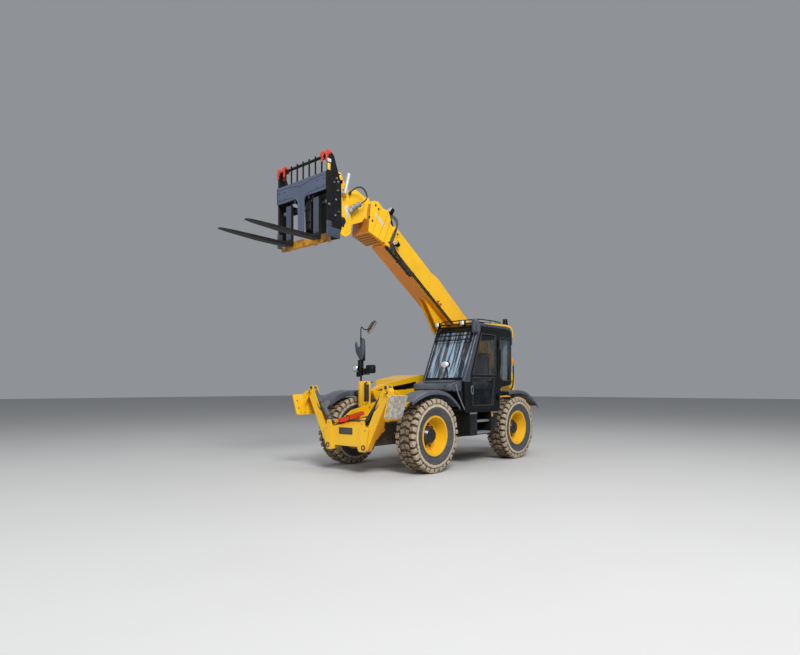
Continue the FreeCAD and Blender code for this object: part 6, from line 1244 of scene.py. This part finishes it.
def make_nose_details():
    """The blank plate on the nose with its dark rim, wing bolts, edge plates and the strap round the prop."""
    x = 1.0
    rim = Shape()
    low, high, half = 0.665, 0.80 - 0.035, 0.155
    for a, b in (((-half, low), (half, low)), ((half, low), (half, high)), ((half, high), (-half, high)), ((-half, high), (-half, low))):
        rim.rod(at(x + 0.003, a[0], a[1]), at(x + 0.003, b[0], b[1]), 0.006, 8)
    piece("nose_plate_rim", rim.mesh("rim"), "chassis", "cab_dark", LOOKS["hose"])
    flat = Shape().box(at(x, -half, low), at(x + 0.003, half, high), 0.001)
    piece("nose_plate", flat.mesh("plate"), "chassis", "paint_yellow", LOOKS["plate_dark"])
    seams = Shape()
    for y in (-0.336, 0.336):
        seams.rod(at(x + 0.004, y, 0.41), at(x + 0.004, y, 0.785), 0.005, 8)
    piece("nose_seams", seams.mesh("seams"), "chassis", "paint_yellow", LOOKS["ochre"])
    for side, label in ((1.0, "left"), (-1.0, "right")):
        pins = Shape()
        for py, pz, r in ((0.43, 0.46, 0.032), (0.41, 0.85, 0.018), (0.47, 0.74, 0.010)):
            pins.rod(at(0.998, side * py, pz), at(1.026, side * py, pz), r, 26, bevel=0.004)
        pins.turned(((0.036, 0.0), (0.046, 0.0), (0.046, 0.012), (0.036, 0.012)), at(1.014, side * 0.43, 0.46), "X", 28)
        piece("nose_pins_" + label, pins.mesh("pins"), "chassis", "fork_steel", LOOKS["nut"])
    slots = Shape()
    # Columns: x and y of the middle, y length of each dark slot in the sloped deck, a black sheet that paints the shade
    # inside it
    for px, py, length in ((0.585, -0.12, 0.36), (0.275, -0.195, 0.19)):
        rise = DECK_SLOPE * (0.971 - px)
        slots.plate([(px - 0.055, 0.792 + rise + 0.0094), (px + 0.055, 0.792 + rise - 0.0094), (px + 0.055, 0.797 + rise - 0.0094),
                     (px - 0.055, 0.797 + rise + 0.0094)], py - length / 2.0, py + length / 2.0, "Y", 0.0)
    mesh = slots.mesh("slots")
    mesh.transform(Matrix.Translation((AXLE, 0, 0)))
    piece("deck_slots", mesh, "chassis", "paint_yellow", LOOKS["hose"])
    strap = Shape().box(at(0.70, -0.29, 0.868), at(0.735, -0.205, 0.962), 0.01)
    piece("prop_strap", strap.mesh("strap"), "chassis", "cab_dark", LOOKS["hose"])


def make_leg_details():
    """Hoses, pin caps, bands on the rams and the soles' ribs on the two stabilisers."""
    for side, label in ((1.0, "left"), (-1.0, "right")):
        pins = Shape()
        pins.rod(at(0.86, side * 0.935, 1.365), at(1.03, side * 0.935, 1.365), 0.028, 22, bevel=0.003)
        pins.rod(at(0.875, side * 0.90, 1.44), at(1.0, side * 0.90, 1.44), 0.03, 22, bevel=0.003)
        piece("leg_pins_" + label, pins.mesh("pins"), "stabiliser_" + label, "fork_steel", LOOKS["nut"])
        hose = Shape()
        hose.tube([at(0.975, side * 0.60, 1.03), at(0.992, side * 0.63, 1.045), at(0.99, side * 0.68, 1.085), at(0.985, side * 0.74, 1.16),
                   at(0.975, side * 0.80, 1.24), at(0.955, side * 0.82, 1.31)], 0.010, 10, 8)
        hose.rod(at(0.94, side * 0.59, 1.04), at(0.985, side * 0.605, 1.03), 0.014, 10)
        piece("leg_hose_" + label, hose.mesh("hose"), "leg_ram_barrel_" + label, "cab_dark", LOOKS["hose"])
        band = Shape()
        way = Vector((0.0, side * 0.49, 0.59)).normalized()
        for reach in (0.12, 0.42):
            spot = Vector(at(0.937, side * 0.41, 0.85)) + way * reach
            band.rod(spot - way * 0.012, spot + way * 0.012, 0.047, 24, bevel=0.003)
        piece("leg_ram_bands_" + label, band.mesh("bands"), "leg_ram_barrel_" + label, "cab_dark", LOOKS["hose"])
        turn = Matrix.Translation(at(0, side * 0.935, 1.365)) @ Matrix.Rotation(-side * math.radians(17.0), 4, "X")
        turn = turn @ Matrix.Translation((0, -side * 0.935, -1.365))
        sole = Shape()
        for k in range(4):
            y0, y1 = sorted((side * 1.146, side * 1.136))
            sole.box((0.80 + 0.098 * k, y0 - 0.006, 1.04), (0.83 + 0.098 * k, y1, 1.36), 0.003)
        mesh = sole.mesh("ribs")
        mesh.transform(turn)
        piece("foot_ribs_" + label, mesh, "stabiliser_foot_" + label, "paint_yellow", LOOKS["foot"])


def make_mast_details():
    """The mast's lamp glass, its hoses through the bracket, the tube to the leg and bolts."""
    x, y = 0.1623, -0.4803
    face = Shape().turned(((0.0, 0.0), (0.058, 0.0), (0.050, 0.010), (0.0, 0.016)), at(x + 0.046, y - 0.11, 1.80), "X", 32)
    piece("mast_lamp_lens", face.mesh("lens"), "chassis", "glass", LOOKS["lens"])
    hoses = Shape()
    for k in range(7):
        dy = -0.442 + 0.024 * k
        front = 0.135 if k < 4 else 0.157
        hoses.tube([at(-0.02, dy, 1.54), at(0.08, dy, 1.535), at(front, dy, 1.50), at(front, dy, 1.34), at(front, dy, 1.20), at(0.08, dy, 1.165),
                    at(-0.02, dy, 1.16)] if k < 4 else [at(front, dy, 1.50), at(front, dy, 1.34), at(front, dy, 1.19)], 0.0115, 10, 8)
    flange = Shape().box(at(0.117, -0.336, 1.09), at(0.145, -0.274, 1.555), 0.004)
    flange.box(at(0.184, -0.52, 1.09), at(0.192, -0.415, 1.56), 0.003)
    flange.box(at(0.144, -0.52, 1.09), at(0.192, -0.512, 1.56), 0.002)
    flange.box(at(0.144, -0.423, 1.09), at(0.192, -0.415, 1.56), 0.002)
    piece("mast_flange", flange.mesh("flange"), "chassis", "paint_yellow")
    piece("mast_hoses", hoses.mesh("hoses"), "chassis", "cab_dark", LOOKS["hose"])
    spots = [(at(0.145, -0.50, z), (1, 0, 0)) for z in (1.18, 1.50)] + [(at(0.145, -0.36, z), (1, 0, 0)) for z in (1.13, 1.53)]
    bolts("mast_bolts", spots, "chassis", "fork_steel", 0.026, 0.014, LOOKS["nut"])
    glass = Shape().box(at(x - 0.045, y - 0.04, 1.945), at(x - 0.042, y + 0.064, 2.215), 0.001)
    piece("mast_mirror_glass", glass.mesh("glass"), "chassis", "glass", LOOKS["mirror"])
    ears = [(-0.41, 2.35), (-0.375, 2.30), (-0.385, 2.06), (-0.44, 1.95), (-0.505, 1.95), (-0.56, 2.03), (-0.605, 2.09), (-0.628, 2.25),
            (-0.60, 2.30), (-0.555, 2.20), (-0.50, 2.18), (-0.462, 2.33)]
    mesh = Shape().plate(ears, 0.150, 0.182, "X", 0.010, segments=3).mesh("ears", 50.0)
    mesh.transform(Matrix.Translation((AXLE, 0, 0)))
    piece("mast_mirror_cover", mesh, "chassis", "cab_dark", LOOKS["slate"])
    boxes = Shape().box(at(0.125, -0.535, 1.66), at(0.195, -0.445, 1.95), 0.008)
    boxes.box(at(0.13, -0.60, 1.64), at(0.17, -0.53, 1.74), 0.008)
    boxes.box(at(0.09, -0.365, 1.70), at(0.165, -0.165, 1.855), 0.022)
    boxes.tube([at(0.16, -0.485, 2.34), at(0.16, -0.49, 2.50), at(0.16, -0.47, 2.57), at(0.16, -0.40, 2.50), at(0.155, -0.31, 2.50),
                at(0.15, -0.255, 2.535)], 0.010, 10, 8)
    piece("mast_boxes", boxes.mesh("boxes"), "chassis", "cab_dark")
    tilt = Vector((-0.338, 0.782, -0.522)).to_track_quat("Z", "Y").to_matrix().to_4x4()
    spot = Matrix.Translation(at(0.148, -0.213, 2.54)) @ tilt
    for label, rows, look in (("back", ((0.0, -0.035), (0.08, -0.028), (0.128, -0.008), (0.132, 0.004), (0.126, 0.006), (0.0, 0.006)), "cab_dark"),
                              ("glass", ((0.0, 0.004), (0.122, 0.004), (0.118, 0.009), (0.06, 0.016), (0.0, 0.019)), "mirror")):
        mesh = Shape().turned(rows, (0, 0, 0), "Z", 40).mesh("disc")
        mesh.transform(spot)
        piece("mast_round_mirror_" + label, mesh, "chassis", "cab_dark" if label == "back" else "glass", LOOKS[look])
    rear = Shape().box(at(-1.2735, 1.068, 2.478), at(-1.2695, 1.155, 2.685), 0.001)
    piece("cab_mirror_glass", rear.mesh("glass"), "chassis", "glass", LOOKS["mirror"])


# Bonnet, steps and rear

def make_side_details():
    """The bonnet's dark band and vents, treads, caps on the step boxes, rear lamps and plate."""
    band = Shape().plate([(-1.30, 1.445), (-1.27, 1.565), (-0.95, 1.515), (-0.36, 1.432), (-0.12, 1.390), (-0.36, 1.385), (-0.9, 1.405)], -0.3602, -0.352, "Y", 0.002)
    mesh = band.mesh("band")
    mesh.transform(Matrix.Translation((AXLE, 0, 0)))
    piece("bonnet_band", mesh, "bonnet", "cab_dark")
    slat = Shape().box((0.0, -0.006, 0.0), (0.012, 0.004, 0.20), 0.002).mesh("slat")
    slats = repeated(ROW, slat, LOOKS["hose"], Count=14, Start=tuple(at(-1.86, -1.08, 1.44)), Step=(0.04, 0.0, 0.0))
    piece("bonnet_slats", slats, "bonnet", "cab_dark", sharp=35.0)
    low = repeated(ROW, Shape().box((0.0, -0.006, 0.0), (0.012, 0.004, 0.36), 0.002).mesh("slat"), LOOKS["hose"], Count=18,
                   Start=tuple(at(-1.80, -1.08, 0.85)), Step=(0.045, 0.0, 0.0))
    piece("bay_slats", low, "chassis", "cab_dark", sharp=35.0)
    latch = Shape().box(at(-0.98, -1.088, 1.36), at(-0.94, -1.079, 1.42), 0.003)
    latch.box(at(-1.86, -1.088, 1.36), at(-1.82, -1.079, 1.42), 0.003)
    piece("bonnet_latches", latch.mesh("latch"), "bonnet", "cab_dark")
    treads = Shape()
    for z, y in ((0.611, 1.085), (0.826, 1.06)):
        treads.box(at(-1.77, 0.80, z), at(-1.315, y, z + 0.006), 0.001)
        treads.box(at(-1.77, y - 0.008, z - 0.03), at(-1.315, y + 0.003, z + 0.006), 0.002)
    for x0, x1 in ((-1.31, -1.07), (-2.02, -1.775)):
        treads.box(at(x0 + 0.01, 0.66, 0.9845), at(x1 - 0.01, 1.088, 0.9895), 0.001)
        treads.box(at(x0 + 0.005, 1.08, 0.955), at(x1 - 0.005, 1.0935, 0.9895), 0.002)
    piece("step_treads", treads.mesh("treads"), "chassis", "step_metal", LOOKS["satin"])
    stud = Shape().rod((0, 0, 0), (0, 0, 0.004), 0.006, 8, tip=0.004).mesh("stud")
    for k, z in enumerate((0.617, 0.832)):
        for row in range(3):
            studs = repeated(ROW, stud.copy(), LOOKS["satin"], Count=16, Start=tuple(at(-1.755, 0.90 + 0.055 * row, z)), Step=(0.0285, 0.0, 0.0))
            piece("tread_studs_%d_%d" % (k + 1, row + 1), studs, "chassis", "step_metal", sharp=35.0)
    lids = Shape()
    for x0, x1 in ((-1.29, -1.09), (-1.99, -1.80)):
        lids.box(at(x0, 1.089, 0.66), at(x1, 1.095, 0.93), 0.003)
        lids.rod(at((x0 + x1) / 2.0, 1.094, 0.89), at((x0 + x1) / 2.0, 1.101, 0.89), 0.014, 16)
    piece("box_lids", lids.mesh("lids"), "chassis", "step_metal")
    for name, y, look in (("tail_red", 0.60, "red_lens"), ("tail_amber", 0.48, "amber_lens")):
        lamps = Shape()
        for hand in (1.0, -1.0):
            y0, y1 = sorted((hand * (y - 0.052), hand * (y + 0.052)))
            lamps.box(at(-4.2465 + (abs(y) > 0.55) * 0.035, y0, 0.98), at(-4.20, y1, 1.06), 0.006)
        piece(name, lamps.mesh("lamps"), "chassis", "glass", LOOKS[look])
    plate = Shape().box(at(-4.2435, 0.18, 0.98), at(-4.239, 0.44, 1.07), 0.002)
    piece("rear_plate", plate.mesh("plate"), "chassis", "paint_yellow", LOOKS["pale_label"])
    spots = [(at(-4.24 - 0.0245, y, z), (-1, 0, 0)) for y in (-0.1, 0.1) for z in (0.66, 0.86)]
    bolts("hitch_plate_bolts", spots, "chassis", "fork_steel", 0.03, 0.016, LOOKS["nut"])
    ears = [(at(x, side * 0.3305, z), (0, side, 0)) for side in (1.0, -1.0) for x in (-3.0, -2.9, -2.6, -2.5, -0.2, 0.2, 0.3) for z in (0.55, 0.80)]
    bolts("chassis_bolts", ears, "chassis", "fork_steel", 0.03, 0.016, LOOKS["nut"])


for corner, wheel_x, wheel_side in CORNERS:
    make_tyre(corner, wheel_x, wheel_side)
    make_wheel_fittings(corner, wheel_x, wheel_side)
    make_guard(corner, wheel_x, wheel_side)
make_steering_rams()
make_boom_details()
make_hitch_details()
make_carriage_details()
make_cab_details()
make_cab_trim()
make_cab_inside()
make_nose_details()
make_leg_details()
make_mast_details()
make_side_details()


# Light, floor and camera

def set_stage():
    """A plain pale floor, a soft overcast light and the camera at the photograph's viewing angle."""
    bpy.ops.mesh.primitive_plane_add(size=160.0, location=(0, 0, 0))
    floor = bpy.context.object
    floor.name = "floor"
    f = Finish("floor")
    speck = f.noise(0.5, 5.0)
    floor.data.materials.append(f.set(base_color=f.mix(speck, (0.50, 0.50, 0.49), (0.54, 0.54, 0.535)), roughness=0.85))
    world = bpy.data.worlds.new("sky")
    bpy.context.scene.world = world
    world.use_nodes = True
    world.node_tree.nodes["Background"].inputs[0].default_value = (0.86, 0.90, 0.96, 1.0)
    world.node_tree.nodes["Background"].inputs[1].default_value = 0.32
    # Columns: name, place, target, size, power
    for name, place, target, size, power in (
        ("key", (9.0, 12.0, 13.0), (0, 0, 1.5), 6.0, 3300.0),
        ("fill", (14.0, -4.0, 6.0), (0, 0, 2.0), 9.0, 380.0),
        ("top", (-2.0, 2.0, 14.0), (0, 0, 1.0), 12.0, 600.0),
    ):
        lamp = bpy.data.lights.new(name, "AREA")
        lamp.energy = power
        lamp.size = size
        holder = bpy.data.objects.new(name, lamp)
        holder.location = place
        holder.rotation_euler = (Vector(target) - Vector(place)).to_track_quat("-Z", "Y").to_euler()
        bpy.context.scene.collection.objects.link(holder)
    camera = bpy.data.cameras.new("camera")
    camera.sensor_width = 36.0
    camera.lens = 25.53
    camera.shift_y = 0.0756
    camera.clip_end = 300.0
    view = bpy.data.objects.new("camera", camera)
    view.location = (7.5615 + AXLE, 6.9438, 1.4333)
    view.rotation_euler = Vector((-0.7528, -0.6582, 0.0)).to_track_quat("-Z", "Y").to_euler()
    bpy.context.scene.collection.objects.link(view)
    bpy.context.scene.camera = view
    bpy.context.scene.view_settings.view_transform = "Standard"


set_stage()
